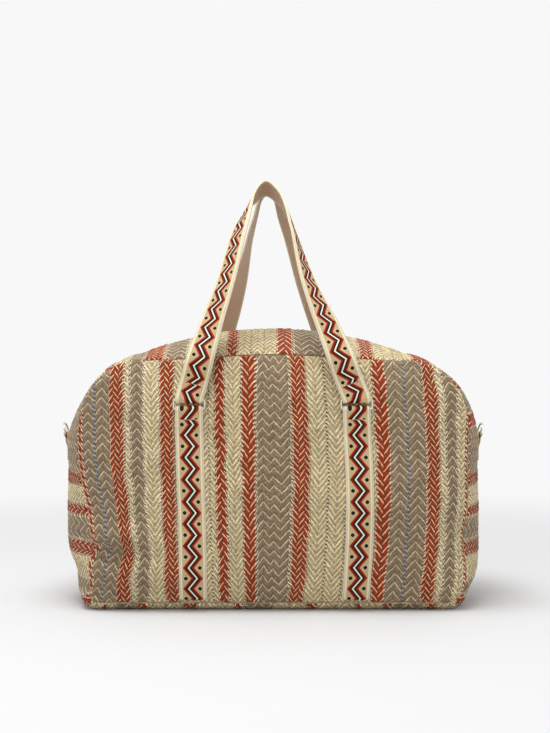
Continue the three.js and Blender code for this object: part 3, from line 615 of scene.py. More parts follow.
def woven_material(name):
    """Slanted yarns in columns. The mesh gives each face its colours and each corner its place
    in the repeat (x), across its column (y) and from its stripe's edge (z, millimetres)."""
    n = Nodes(name)
    turn, share, edge = n.split(n.attribute("weave"))
    ridge, proud, _ = n.split(n.attribute("look"))
    base, yarn = n.attribute("base_colour", "Color"), n.attribute("yarn_colour", "Color")
    fuzz, knots = n.noise(0.0016, 3.0), n.noise(0.0024)
    patch, cross, wear = n.noise(0.011), n.noise(0.0011), n.noise(0.07, 3.0)
    # The slanted yarns: a line in each repeat, a painted shadow above it, fine threads along it.
    repeat = turn + (n.noise(0.0045) * 0.16 - 0.08)
    rise = repeat.calc("FRACT")
    width = fuzz * 0.07 + (ridge * 0.62 - 0.02)
    line = n.fall(repeat.fold(0.5), width * 0.8, width * 1.55)
    # above: a painted shadow, a dark band just above each yarn line.
    above = n.fall(rise, width, width + 0.2) * (1.0 - line)
    thread = (repeat * (2 * math.pi * THREADS_IN_REPEAT)).calc("SINE")
    speckle = n.ramp(knots, 0.42, 0.62, 0.74, 1.22)
    # The rise term is painted shading: each repeat's ground is darker just past its yarn line and
    # lighter towards the next.
    ground_tone = (thread * 0.07 + (cross * 0.9 + 0.46)) * speckle * (rise * 0.42 + 0.88)
    ground = n.mix(above * 0.75, n.scaled(base, ground_tone), n.scaled(base, 0.42))
    yarn_tone = (fuzz + (patch * 0.5 + 0.3)) * n.ramp(knots, 0.35, 0.62, 0.78, 1.16)
    colour = n.mix(line, ground, n.scaled(yarn, yarn_tone))
    # The groove between two columns, darkened with painted shade; the bump sinks it too.
    depth = (proud * -0.3 + 0.62) * n.ramp(knots, 0.35, 0.6, 0.5, 1.1)
    shaded_groove = n.fall(share.fold(0.5), 0.0, 0.12) * depth
    colour = n.mix(shaded_groove, colour, n.scaled(base, 0.38))
    # Pale loops that step over a stripe's edge, and painted shade between them.
    loop_place = (repeat * 2.0 + 0.3).fold(0.5)
    ragged = knots * 2.4 + 0.5
    loop = n.fall(loop_place, 0.17, 0.25) * n.fall(edge, ragged, ragged + 0.7)
    colour = n.mix(loop * 0.8, colour, n.scaled(LOOP_TONE, yarn_tone))
    shade = n.ramp(loop_place, 0.27, 0.4) * n.ramp(edge, 0.5, 2.0, 0.75, 0.0)
    colour = n.mix(shade, colour, n.scaled(base, 0.34))
    life = patch * 0.3 + (wear * 0.22 + 0.74)
    colour = n.mix(1.0, colour, n.scaled((1.0, 0.985, 0.96), life), "MULTIPLY")
    stand = (line * (proud * 1.6 - 0.6)).calc("MAXIMUM", loop)
    height = stand + (thread * 0.12 + cross * 0.6) - shaded_groove * 1.6 - shade
    return n.set(
        Base_Color=colour,
        Roughness=fuzz * 0.2 + 0.74,
        Sheen_Weight=0.08,
        Sheen_Roughness=0.6,
        Specular_IOR_Level=0.12,
        Normal=n.bump(height, 0.0009, 0.9),
    )


def plain_cloth(name, colour, weave=0.0009, tone=0.5, sheen=0.15, roughness=0.85, edge=None):
    """A fine plain weave: over and under threads from two stretched noises. On a strap, edge is
    the colour of its two borders."""
    n = Nodes(name)
    if edge is not None:
        across = n.split(n.strap_place())[0]
        border = n.ramp(abs(across), BORDER_FROM, BORDER_FROM + 0.8)
        colour = n.mix(border, colour, edge)
    warp = n.noise(weave, stretch=(1, 1, 0.25))
    weft = n.noise(weave, stretch=(0.3, 0.3, 1))
    threads = warp * 0.5 + weft * 0.5
    amount = threads * tone + (n.noise(0.05, 3.0) * 0.16 + (0.92 - tone / 2))
    return n.set(
        Base_Color=n.scaled(colour, amount),
        Roughness=threads * 0.2 + (roughness - 0.1),
        Sheen_Weight=sheen,
        Normal=n.bump(threads, 0.0003, 0.8),
    )


def metal_material(name, colour, roughness):
    """Polished metal with a little tarnish and fine scratches."""
    n = Nodes(name)
    tarnish = n.noise(0.006, 4.0)
    scratches = n.noise(0.0012, stretch=(1, 0.15, 0.15))
    return n.set(
        Base_Color=n.scaled(colour, tarnish * 0.3 + 0.82),
        Metallic=1.0,
        Roughness=tarnish * 0.16 + roughness,
        Normal=n.bump(scratches, 0.00006, 0.5),
    )


# The trim's drawing, in millimetres across and along the strap.
ZIGZAG_SWING = 5.3
ZIGZAG_REPEAT = 27.0
WHITE_BAND = 1.05
DARK_BAND = 4.5
RED_BAND = 7.1
BAND_SOFTNESS = 0.25
WEAVE_STEP = 0.45
DOT_ACROSS = 8.6
DOT_RADIUS = 2.7
DOT_SQUARENESS = 1.6
HALO_RADIUS = 3.2
RIBBON_RIM = 12.4
RIB_PITCH = 0.9


def trim_material(name):
    """A woven band: white, dark and red zigzags and dark dots on a sand ground.
    The UV map holds the place on the strap in millimetres."""
    n = Nodes(name)
    across, along, _ = n.split(n.strap_place())
    in_repeat = along / ZIGZAG_REPEAT
    centre = in_repeat.fold(0.5) * (4 * ZIGZAG_SWING) - ZIGZAG_SWING
    away = abs(across - centre) + (along.fold(WEAVE_STEP) * 0.55 - 0.12)
    colour = RIBBON_GROUND
    bands = ((RED_BAND, RIBBON_RED), (DARK_BAND, RIBBON_DARK), (WHITE_BAND, RIBBON_LIGHT))
    drawn = [(away, *band) for band in bands]
    for side in (-1, 1):
        up = (in_repeat + (0.25 - 0.25 * side)).fold(0.5) * ZIGZAG_REPEAT
        sideways = abs(across - side * DOT_ACROSS)
        far = (up**DOT_SQUARENESS + sideways**DOT_SQUARENESS) ** (1 / DOT_SQUARENESS)
        drawn += [(far, HALO_RADIUS, RIBBON_EDGE), (far, DOT_RADIUS, RIBBON_DARK)]
    for distance, reach, tone in drawn:
        inside = n.fall(distance, reach - BAND_SOFTNESS, reach + BAND_SOFTNESS)
        colour = n.mix(inside, colour, tone)
    rim = n.ramp(abs(across), RIBBON_RIM, RIBBON_RIM + 0.6)
    colour = n.mix(rim, colour, RIBBON_EDGE)
    ribs = (along * (2 * math.pi / RIB_PITCH)).calc("SINE")
    slubs = n.noise(0.0012)
    return n.set(
        Base_Color=n.scaled(colour, ribs * 0.05 + (slubs * 0.3 + 0.86)),
        Roughness=slubs * 0.2 + 0.66,
        Specular_IOR_Level=0.15,
        Normal=n.bump(ribs * 0.5 + slubs, 0.0002, 0.7),
    )


def floor_material():
    """Pale paper near the bag that goes over into the backdrop's own white further out."""
    n = Nodes("floor")
    x, y, _ = n.split(n.place())
    fade = n.ramp((x * x + y * y).calc("SQRT"), 0.45, 1.5)
    material = n.set(Base_Color=FLOOR_TONE, Roughness=0.9, Specular_IOR_Level=0.1)
    glow = n.add("Emission", {"Color": BACKDROP})
    paper = Value(n, n.shader.outputs[0])
    surface = n.add("MixShader", {0: fade, 1: paper, 2: glow})
    n.put(n.tree.nodes["Material Output"].inputs["Surface"], surface)
    return material


# ---------------------------------------------------------------- settling of the soft shell

# Places where the cloth is pushed: centre, reach and how far, all in millimetres.
CREASES = [
    ((-240, -95, 108), (60, 36, 50), (14.0, 0, 0)),
    ((-240, -95, 78), (50, 32, 13), (10.0, 3.0, 0)),
    ((-242, -95, 34), (30, 36, 24), (6.0, 0, 0)),
    ((-255, -30, 36), (40, 90, 26), (13.0, 0, 0)),
    ((-205, -112, 93), (52, 28, 15), (0, -6.0, -2.0)),
    ((-206, -112, 68), (48, 28, 12), (0, 9.5, 0)),
    ((-170, -112, 44), (40, 28, 14), (0, -2.5, 0)),
    ((238, -60, 262), (34, 90, 44), (4.0, 0, 2.0)),
    ((244, -95, 92), (22, 40, 26), (-5.0, 3.0, 0)),
    ((255, -30, 18), (40, 90, 20), (-8.0, 0, 0)),
    ((238, 95, 80), (26, 30, 16), (-5.0, -5.0, 0)),
    ((-238, 95, 110), (26, 30, 18), (5.0, -4.0, 0)),
    ((150, -112, 40), (60, 26, 12), (0, 3.0, 0)),
    ((-60, 112, 60), (70, 26, 14), (0, -4.0, 0)),
]
# The lowest that settled cloth comes down to.
RESTING = 0.1
panel_wander = waves(3, 9, 90, 210)
small_wander = waves(8, 12, 28, 70)


def bell(points, centre, reach):
    """A soft hill round a point, with its own reach along each axis."""
    far = (points - np.array(centre)) / np.array(reach)
    return np.exp(-np.sum(far * far, -1))


def settle(points):
    """Moves shell points to where the worn cloth hangs: slack, dents and a crumpled corner."""
    x, y, z = points[..., 0], points[..., 1], points[..., 2]
    moved = points.copy()
    front = np.sign(y) * smooth(np.abs(y) / 60)
    middle = smooth((z - 8) / 40) * smooth((330 - z) / 50)
    by_anchor = np.exp(-(((np.abs(x) - ANCHOR_X) / 30) ** 2))
    calm = 1 - 0.85 * by_anchor * smooth((z - 180) / 40)
    slack = 1.5 * panel_wander(x, z + 0.4 * y) + 0.45 * small_wander(x, z)
    moved[..., 1] += front * middle * calm * slack
    side = np.sign(x) * smooth((np.abs(x) - 225) / 25)
    level = smooth((z - 25) / 30) * smooth((200 - z) / 30)
    moved[..., 0] += side * level * (1.2 * panel_wander(y * 1.5, z) - 0.6)
    for centre, reach, push in CREASES:
        moved += bell(points, centre, reach)[..., None] * np.array(push)
    moved[..., 2] = np.maximum(moved[..., 2], RESTING)
    return moved


# ---------------------------------------------------------------- woven pieces

SEAM_ROLL = 3.2
PUCKER_REACH = 40.0
BORDER_WANDER, INNER_WANDER = 0.34, 0.1


def rolled(distance):
    """How far a sewn edge has turned in, by distance from the seam."""
    near = np.clip(SEAM_ROLL - distance, 0, SEAM_ROLL)
    return SEAM_ROLL - np.sqrt(np.maximum(SEAM_ROLL**2 - near**2, 0))


def pucker(distance, along, seed):
    """The small gathers that a seam's stitches pull into the cloth."""
    ripple = waves(seed, 5, 7, 17)(along, 0.0 * along)
    return 0.55 * ripple * np.exp(-distance / 7) * smooth(distance / 1.5)


def set_corner_values(mesh, name, values, colour=False):
    """A corner attribute for the first faces of a mesh, which are its outer grid."""
    attribute = mesh.attributes.new(name, "FLOAT_COLOR" if colour else "FLOAT_VECTOR", "CORNER")
    data = np.ones((len(mesh.loops), 4 if colour else 3), np.float32)
    data[: len(values), :3] = values
    data[len(values) :, :3] = values.mean(0)
    attribute.data.foreach_set("color" if colour else "vector", data.ravel())


def weave_corners(mesh, columns, owner, u, v, flipped):
    """Writes the weave's attributes: each quad belongs to one column of the cloth."""
    rows, cells = len(owner), v.shape[1] - 1
    order = [(0, 0), (1, 0), (1, 1), (0, 1)]
    if flipped:
        order = order[::-1]

    def gather(grid):
        corners = [grid[a : a + rows, b : b + cells] for a, b in order]
        return np.stack(corners, -1).reshape(-1)

    at, along = gather(u), gather(v)
    corner_owner = np.repeat(owner, 4 * cells)
    values = column_values(columns, corner_owner, "start", "wide", "ridge", "proud")
    start, wide, ridge, proud = values
    turn = weave_turn(columns, corner_owner, at, along)
    low, high = np.array([column["edges"] for column in columns])[corner_owner].T
    edge = np.clip(np.minimum(at - low, high - at), 0, PLAIN_EDGE)
    set_corner_values(mesh, "weave", np.stack([turn, (at - start) / wide, edge], -1))
    set_corner_values(mesh, "look", np.stack([ridge, proud, 0 * ridge], -1))
    for name, key in (("base_colour", "base"), ("yarn_colour", "yarn")):
        tones = np.array([column[key] for column in columns])[corner_owner]
        set_corner_values(mesh, name, tones, colour=True)


def woven_piece(
    name, stripes, span, v_lines, surface, edge_distance, cloth, along_z=False, warp=None
):
    """A woven shell piece on a grid of lines: u across its stripes and v along them.

    surface(u, v) gives points, edge_distance(u, v, points) the distance to the nearest seam.
    With along_z the yarns repeat by height instead of by v."""
    columns = columns_of(stripes, *span)
    u_lines, owner = column_lines(columns)
    u, v = np.meshgrid(u_lines, v_lines, indexing="ij")
    ragged = waves(len(name), 7, 2.6, 9)(v, 7.0 * u)
    starts = np.round([column["start"] for column in columns], 4)
    wander = np.where(np.isin(np.round(u_lines, 4), starts), BORDER_WANDER, INNER_WANDER)
    inside = smooth((u - u_lines[0]) / 6) * smooth((u_lines[-1] - u) / 6)
    moved_u = u + ragged * inside * wander[:, None]
    if warp is not None:
        moved_u = moved_u + warp(u, v)
    points = surface(moved_u, v)
    cloth_v = points[..., 2] if along_z else v
    normals = grid_normals(points)
    away = edge_distance(moved_u, v, points)
    line_owner = np.append(owner, owner[-1])
    relief = weave_relief(columns, line_owner, u, cloth_v) * smooth(away / 3.0)
    ripple = pucker(away, np.where(away < PUCKER_REACH, u + v, 0.0), 5)
    outer = points + normals * (relief + ripple - rolled(away))[..., None]
    outer, normals = settle(outer), grid_normals(settle(points))
    mesh_points, faces = cloth_slab(outer, FABRIC + SEAM_ROLL * 0.3, normals)
    thing = new_object(name, mesh_points, faces, cloth, "shell")
    weave_corners(thing.data, columns, owner, u, cloth_v, flipped=faces[0][0] != 0)
    return thing


def slope_of(outline, x):
    """How steeply an outline z = outline(x) rises at x."""
    step = 0.5
    reach = SEAM_HALF_WIDTH - 0.1
    after, before = np.clip(x + step, -reach, reach), np.clip(x - step, -reach, reach)
    return (outline(after) - outline(before)) / (2 * step)


def panel_edges(x, share, points):
    """Distance from a panel's point to its seam."""
    z = points[..., 2]
    top = (seam_top(x) - z) / np.sqrt(1 + slope_of(seam_top, x) ** 2)
    foot = (z - seam_foot(x)) / np.sqrt(1 + slope_of(seam_foot, x) ** 2)
    return np.minimum(np.minimum(top, foot), SEAM_HALF_WIDTH - np.abs(x))


def front_warp(x, share):
    """How the front panel's stripes lean and bow, kept off the two side seams."""
    free = smooth((SEAM_HALF_WIDTH - np.abs(x)) / 34)
    lower = 1 - share
    fold = np.exp(-(((share - 0.2) / 0.1) ** 2)) * smooth((-x - 120) / 60)
    left = smooth(-x / 60) * (7.5 * lower**1.3 + 5.0 * fold)
    bow = np.sin(math.pi * np.clip(share, 0, 1)) ** 1.2
    right = smooth((x + 20) / 60) * (7.0 * bow - 2.5 * lower - 2.0 * share)
    return free * (left + right + 0.8 * small_wander(x, 300 * share))


def back_warp(x, share):
    return -0.6 * front_warp(-x, share)


# How far the gussets reach across the depth from the middle, in millimetres.
GUSSET_REACH = SEAM_HALF_DEPTH - 1.6


def sewn_piece(piece, node):
    finish_piece(piece, [node])


def add_panels(cloth):
    lines = even_lines(SEAM_BOTTOM, SHOULDER_TOP)
    shares = (lines - SEAM_BOTTOM) / (SHOULDER_TOP - SEAM_BOTTOM)
    span = (-SEAM_HALF_WIDTH, SEAM_HALF_WIDTH)
    faces = (("front", -1, FRONT_STRIPES, front_warp), ("back", 1, BACK_STRIPES, back_warp))
    for face, side, stripes, warp in faces:
        name = f"{face}_panel"
        surface = panel_surface(side)
        piece = woven_piece("cloth_" + name, stripes, span, shares, surface, panel_edges, cloth,
                            along_z=True, warp=warp)
        sewn_piece(piece, name)


def gusset_edges(u, v, points):
    return GUSSET_REACH + 0.6 - np.abs(v)


def zip_gusset_edges(u, v, points):
    return np.minimum(gusset_edges(u, v, points), np.abs(v) - ZIP_SLOT_HALF + 0.6)


def add_gussets(cloth):
    lines = even_lines(-GUSSET_REACH, GUSSET_REACH)
    span = (FLAT_HALF - 1.0, ZIP_FROM + 0.6)
    for where, side in (("left", -1), ("right", 1)):
        surface = lambda u, v: gusset_surface(side * u, v / SEAM_HALF_DEPTH)
        name = f"cloth_side_{where}"
        piece = woven_piece(name, SIDE_STRIPES, span, lines, surface, gusset_edges, cloth)
        sewn_piece(piece, f"side_gusset_{where}")
    span = (-ZIP_TRAVEL - 0.4, ZIP_TRAVEL + 0.4)
    for where, side in (("front", -1), ("back", 1)):
        surface = lambda u, v: zip_gusset_surface(u, side * v / SEAM_HALF_DEPTH)
        half = even_lines(ZIP_SLOT_HALF, GUSSET_REACH)
        name = f"cloth_top_{where}"
        piece = woven_piece(name, TOP_STRIPES, span, half, surface, zip_gusset_edges, cloth)
        sewn_piece(piece, f"zip_gusset_{where}")
    surface = lambda u, v: gusset_surface(u, v / SEAM_HALF_DEPTH)
    span = (-FLAT_HALF + 0.2, FLAT_HALF - 0.2)
    piece = woven_piece("cloth_base", BASE_STRIPES, span, lines, surface, gusset_edges, cloth)
    sewn_piece(piece, "base_panel")


# ---------------------------------------------------------------- straps


def length_along(points):
    return np.concatenate([[0], np.cumsum(np.linalg.norm(np.diff(points, axis=0), axis=1))])


PATH_STEP = 1.1


def curve_through(knots, spacing):
    """Points on a smooth curve (centripetal Catmull-Rom) through the knots."""
    knots = np.asarray(knots, float)
    ends = [2 * knots[0] - knots[1], 2 * knots[-1] - knots[-2]]
    all_knots = np.concatenate([[ends[0]], knots, [ends[1]]])
    curve = []
    for p0, p1, p2, p3 in zip(all_knots, all_knots[1:], all_knots[2:], all_knots[3:]):
        gaps = [max(np.linalg.norm(b - a), 1e-6) ** 0.5 for a, b in ((p0, p1), (p1, p2), (p2, p3))]
        t0, t1 = 0.0, gaps[0]
        t2, t3 = t1 + gaps[1], t1 + gaps[1] + gaps[2]
        count = max(int(math.ceil(np.linalg.norm(p2 - p1) / spacing)), 3)
        t = np.linspace(t1, t2, count, endpoint=False)[:, None]
        a1 = (t1 - t) / (t1 - t0) * p0 + (t - t0) / (t1 - t0) * p1
        a2 = (t2 - t) / (t2 - t1) * p1 + (t - t1) / (t2 - t1) * p2
        a3 = (t3 - t) / (t3 - t2) * p2 + (t - t2) / (t3 - t2) * p3
        b1 = (t2 - t) / (t2 - t0) * a1 + (t - t0) / (t2 - t0) * a2
        b2 = (t3 - t) / (t3 - t1) * a2 + (t - t1) / (t3 - t1) * a3
        curve.append((t2 - t) / (t2 - t1) * b1 + (t - t1) / (t2 - t1) * b2)
    return np.concatenate([*curve, knots[-1:]])


def strap_frame(path, across):
    """Tangent, outward normal and side direction of a strap at each point of its path."""
    tangent = unit(np.gradient(path, axis=0))
    normal = unit(np.cross(across, tangent))
    return tangent, normal, np.cross(tangent, normal)


def ribbon_grid(path, across, width, height, cell, lift=None):
    """The outer face of a ribbon: a grid of points, its normals, and the place across."""
    _, normal, side = strap_frame(path, across)
    offsets = np.linspace(-width / 2, width / 2, int(round(width / cell)) + 1)
    edge = width / 2 - np.abs(offsets)
    drop = 0.55 * np.clip(1 - edge / 1.1, 0, 1) ** 2
    over = height - drop[None, :] + (0 if lift is None else lift(offsets))
    sideways = side[:, None] * offsets[None, :, None]
    points = path[:, None] + sideways + normal[:, None] * over[..., None]
    return points, np.repeat(normal[:, None], len(offsets), axis=1), offsets


def strap_uv(mesh, rows, columns, offsets, along):
    """The place on the strap, across and along, in millimetres."""
    layer = mesh.uv_layers.new(name="strap")
    index = np.zeros(len(mesh.loops), np.int32)
    mesh.loops.foreach_get("vertex_index", index)
    same = index % (rows * columns)
    uv = np.stack([offsets[same % columns], along[same // columns]], -1)
    layer.data.foreach_set("uv", uv.astype(np.float32).ravel())


def ribbon(name, path, across, width, low, high, cell, body, material, lay, along=None, lift=None):
    """A ribbon from low to high over its path. lay is how it lies: a shape, and whether the
    shape turns it to the back."""
    shape, back = lay
    points, normals, offsets = ribbon_grid(path, across, width, high, cell, lift)
    if shape is not None:
        points = shape(points)
    if back:
        normals = turned(normals)
    mesh_points, faces = cloth_slab(points, high - low - 0.25, normals, step=1)
    thing = new_object(name, mesh_points, faces, material, body)
    along = length_along(path) if along is None else along
    strap_uv(thing.data, len(path), len(offsets), offsets, along)
    return thing


def zigzag_lift(along):
    """The raised bands of the trim."""

    def lift(offsets):
        repeat = along / ZIGZAG_REPEAT
        half = np.abs(repeat - np.round(repeat))
        centre = (4 * half - 1) * ZIGZAG_SWING
        away = np.abs(offsets[None, :] - centre[:, None])
        return 0.28 * smooth((RED_BAND + 0.5 - away) / 1.2)

    return lift


# Along a stitch: place, swelling and lift, as shares of its length and radius.
STITCH_END = [(-0.5, 0.3, -0.35), (-0.42, 0.75, -0.1), (-0.2, 1.0, 0.12)]
STITCH_STATIONS = STITCH_END + [(-at, swell, lift) for at, swell, lift in STITCH_END[::-1]]
STITCH_RADIUS = 0.34


def rings_of_faces(count, sides, flip=False):
    """Quads that join rings of points in a row."""
    faces = []
    for ring in range(count - 1):
        for k in range(sides):
            a, b = ring * sides + k, ring * sides + (k + 1) % sides
            quad = [a, a + sides, b + sides, b]
            faces.append([a] + quad[:0:-1] if flip else quad)
    return faces


def capsule(length, sides=6):
    """One stitch along X, lying on z = 0: points and faces."""
    points = []
    for at, swell, lift in STITCH_STATIONS:
        for k in range(sides):
            angle = 2 * math.pi * k / sides
            up = math.sin(angle) * swell + lift
            points.append((at * length, swell * STITCH_RADIUS * math.cos(angle), up * STITCH_RADIUS))
    faces = rings_of_faces(len(STITCH_STATIONS), sides)
    faces.append(list(range(sides)))
    faces.append([len(points) - 1 - k for k in range(sides)])
    return np.array(points), faces


def copies(block, block_faces, places):
    """One mesh of many copies of a block: points and faces. Each place is an origin and three
    axes."""
    points, faces = [], []
    for origin, *axes in places:
        faces += [[i + len(points) * len(block) for i in face] for face in block_faces]
        points.append(origin + sum(block[:, k : k + 1] * axis for k, axis in enumerate(axes)))
    return np.concatenate(points), faces


def stitches(name, lines, pitch, body, thread):
    """Rows of stitches as one mesh. Each line is (points, outward normals)."""
    places = []
    for line, normals in lines:
        reach = length_along(line)

        def at(values, marks):
            return np.stack([np.interp(marks, reach, values[:, k]) for k in range(3)], -1)

        marks = np.arange(pitch / 2, reach[-1], pitch)
        place, up = at(line, marks), unit(at(normals, marks))
        ahead = at(line, marks + 0.5) - place
        ahead = unit(ahead - up * np.sum(ahead * up, -1, keepdims=True))
        places += list(zip(place, ahead, np.cross(up, ahead), up))
    points, faces = copies(*capsule(pitch * 0.74), places)
    return new_object(name, points, faces, thread, body)


def edge_lines(path, across, reach, height, keep, shape):
    """The two lines along a strap at reach from its middle, for its stitches."""
    _, normal, side = strap_frame(path, across)
    lines = []
    for offset in (-reach, reach):
        line = path + side * offset + normal * height
        line = line if shape is None else shape(line)
        lines.append((line[keep], normal[keep]))
    return lines


def cross_line(path, across, index, half_width, height, shape):
    """A line straight across a strap, with its normals."""
    _, normal, side = strap_frame(path, across)
    offsets = np.linspace(-half_width, half_width, 9)[:, None]
    line = path[index] + side[index] * offsets + normal[index] * height
    line = line if shape is None else shape(line)
    return line, np.repeat(normal[index : index + 1], 9, axis=0)


def turned(points):
    """Half a turn about Z, for what the back shares with the front."""
    return points * np.array([-1.0, -1.0, 1.0])


def add_stitches(name, lines, pitch, body, back):
    if back:
        lines = [(line, turned(normal)) for line, normal in lines]
    thread = stitches(f"stitches_{name}", lines, pitch, body, materials["thread"])


TRIM_FROM = BACKING + LAYER_GAP
TRIM_TO = TRIM_FROM + RIBBON
STITCH_PITCH = 3.3
STITCH_INSET = 1.25
INNER_STITCHES = STRAP_WIDTH / 2 - 3.2


def add_strap(name, path, across, along, body, lay, keep, seams, inner=False):
    """A strap's plain backing, its patterned trim, and the stitches: along both edges of the
    trim, across it at the seams, and on the inner side too if inner is set."""
    shape, back = lay
    backing = ribbon(f"strap_{name}", path, across, STRAP_WIDTH, 0, TRIM_FROM, 2.4, body,
                     materials["backing"], lay)
    finish_piece(backing, [f"{name}_backing"])
    trim = ribbon(f"trim_{name}", path, across, RIBBON_WIDTH, TRIM_FROM - 0.15, TRIM_TO, 1.1, body,
                  materials["trim"], lay, along, zigzag_lift(along))
    finish_piece(trim, [f"{name}_trim"])
    height, inset = TRIM_TO - 0.1, RIBBON_WIDTH / 2 - STITCH_INSET
    lines = edge_lines(path, across, inset, height, keep, shape)
    lines += [cross_line(path, across, index, inset, height, shape) for index in seams]
    if inner:
        inside = edge_lines(path, across, INNER_STITCHES, 0.05, keep, shape)
        lines += [(line, -normal) for line, normal in inside]
    add_stitches(name, lines, STITCH_PITCH, body, back)


def place_name(face, side):
    """The side, seen from the front, of what is at side of a face."""
    return "left" if (side < 0) != (face == "back") else "right"


def on_panel(x, drop, standoff):
    z = RING_HEIGHT - drop
    return (x, -float(panel_depth_at(np.array(x), np.array(z))) - STANDOFF - standoff, z)


def anchor_path(x):
    doubled = LOOP_OUTER - LOOP_INNER
    knots = [on_panel(x, drop, 0) for drop in np.linspace(RING_HEIGHT - ANCHOR_BOTTOM, 34, 14)]
    rising = ((28, 0.3), (21, 1.9), (15, doubled + 0.5), (9, doubled + 1.2), (4, doubled + 2.3))
    knots += [on_panel(x, drop, standoff) for drop, standoff in rising]
    for angle in np.linspace(0, math.pi, 6):
        y = -BAR_DEPTH - LOOP_INNER * math.cos(angle)
        knots.append((x, y, RING_HEIGHT + LOOP_INNER * math.sin(angle)))
    knots += [on_panel(x, drop, doubled) for drop in (5, 10, 14)]
    return curve_through(knots, PATH_STEP)


ANCHOR_LEAN = {-1: 4.0, 1: 0.0}
ANCHOR_BOW = {-1: 1.0, 1: 4.0}
ANCHOR_SEAM = 237.0
ANCHOR_DRAWN = 220.5


def anchor_shape(side, back):
    """How an anchor lies on the settled panel."""

    def shape(points):
        low = np.clip((ANCHOR_SEAM - points[..., 2]) / (ANCHOR_SEAM - ANCHOR_BOTTOM), 0, 1)
        moved = points.copy()
        moved[..., 0] += ANCHOR_LEAN[side] * smooth(low) + ANCHOR_BOW[side] * np.sin(math.pi * low)
        moved = turned(moved) if back else moved
        return settle(moved)

    return shape


def add_anchor(face, side):
    path = anchor_path(side * ANCHOR_X)
    across = np.tile([1.0, 0, 0], (len(path), 1))
    crest = int(np.argmax(path[:, 2]))
    seam = int(np.argmin(np.abs(path[:crest, 2] - ANCHOR_SEAM)))
    reach = length_along(path)
    along = reach - (ANCHOR_DRAWN - ANCHOR_BOTTOM) + np.where(reach > reach[seam], 8.0, 0.0)
    back = face == "back"
    lay = (anchor_shape(side, back), back)
    name = f"anchor_{face}_{place_name(face, side)}"
    add_strap(name, path, across, along, "shell", lay, slice(2, crest - 4), [seam])


# The routes of the two handles: x, depth in front of the middle, height.
HANDLE_ROUTES = {
    "front": [
        (-88, 120, 312), (-77.5, 106, 348), (-58, 84, 409), (-42.5, 58, 472), (-33, 40, 500),
        (-23, 28, 520), (-9, 20, 532), (6, 28, 520), (17, 40, 500), (25.5, 58, 472), (43.5, 84, 409),
        (68.5, 106, 348), (82.5, 120, 312),
    ],
    "back": [
        (-85, 120, 312), (-70, 106, 348), (-48, 84, 409), (-32, 58, 472), (-23, 38, 503),
        (-16, 26, 523), (-6, 19.5, 534), (4, 26, 523), (13, 38, 503), (26, 58, 472), (46, 84, 409),
        (70, 106, 348), (85, 120, 312),
    ],
}
# How many degrees a handle has turned about its length, by height.
TWIST_HEIGHTS = (287, 306, 330, 360, 400, 466, 500, 529)
TWIST_TURNS = {-1: (0, 5, 16, 32, 45, 56, 70, 90), 1: (0, 5, 16, 30, 53, 80, 86, 90)}
TWIST_BLUR = 7
APEX_TILT = {"front": 27.0, "back": 0.0}
TILT_START, TILT_END = 476.0, 528.0
HANDLE_SEAM = 281.0
HANDLE_PACE = 1.06
HANDLE_STITCH_GAP = 16


def handle_end(x, knot):
    """A handle's loop round its bar, leaning towards the first knot of its route."""
    z = RING_HEIGHT + BAR_SPACING
    lean = (knot[0] - x) / (knot[2] - z)
    behind = [(0.4, 24), (0.5, 14), (1.2, 6)]
    angles = np.linspace(0, math.pi, 6)
    round_bar = [(LOOP_INNER * math.cos(a), -LOOP_INNER * math.sin(a)) for a in angles]
    before = [(-1.2, 6), (-0.5, 14), (-0.5, 24)]
    profile = behind + round_bar + before
    return [(x + lean * max(rise, 0), -BAR_DEPTH + offset, z + rise) for offset, rise in profile]


def handle_path(face):
    route = [(x, -depth, z) for x, depth, z in HANDLE_ROUTES[face]]
    if face == "back":
        route = [(-x, y, z) for x, y, z in route[::-1]]
    knots = handle_end(-ANCHOR_X, route[0]) + route + handle_end(ANCHOR_X, route[-1])[::-1]
    apex = max(route, key=lambda knot: knot[2])[0]
    return curve_through(knots, PATH_STEP), apex


def handle_across(path, apex, tilt):
    """The direction across a handle at each point of its path."""
    x, z = path[:, 0], path[:, 2]
    turns = [np.interp(z, TWIST_HEIGHTS, TWIST_TURNS[side]) for side in (-1, 1)]
    twist = np.pad(np.radians(np.where(x < apex, *turns)), TWIST_BLUR, mode="edge")
    spread = 2 * TWIST_BLUR + 1
    twist = np.convolve(twist, np.ones(spread) / spread, "valid")
    lift = math.radians(tilt) * smooth((z - TILT_START) / (TILT_END - TILT_START))
    lean = np.clip((x - apex) / 3, -1, 1)
    turn = np.sin(twist)
    return unit(np.stack([-lean * np.cos(twist), -turn * np.cos(lift), turn * np.sin(lift)], -1))


def add_handle(face):
    path, apex = handle_path(face)
    across = handle_across(path, apex, APEX_TILT[face])
    reach = length_along(path)
    # The first point past the loop at the height of its seam, and its mirror.
    off_seam = np.abs(path[:, 2] - HANDLE_SEAM) + 50 * (reach < 30)
    first = int(np.argmin(np.where(reach < reach[-1] / 2, off_seam, 1e3)))
    last = len(path) - 1 - first
    doubled = (reach < reach[first]) | (reach > reach[last])
    along = HANDLE_PACE * (reach - reach[first]) + 4.0 + np.where(doubled, 9.0, 0.0)
    back = face == "back"
    lay = (turned if back else None, back)
    keep = slice(HANDLE_STITCH_GAP, len(path) - HANDLE_STITCH_GAP)
    name = f"handle_{face}"
    add_strap(name, path, across, along, f"{face}_handle", lay, keep, [first, last], inner=True)


# ---------------------------------------------------------------- metal


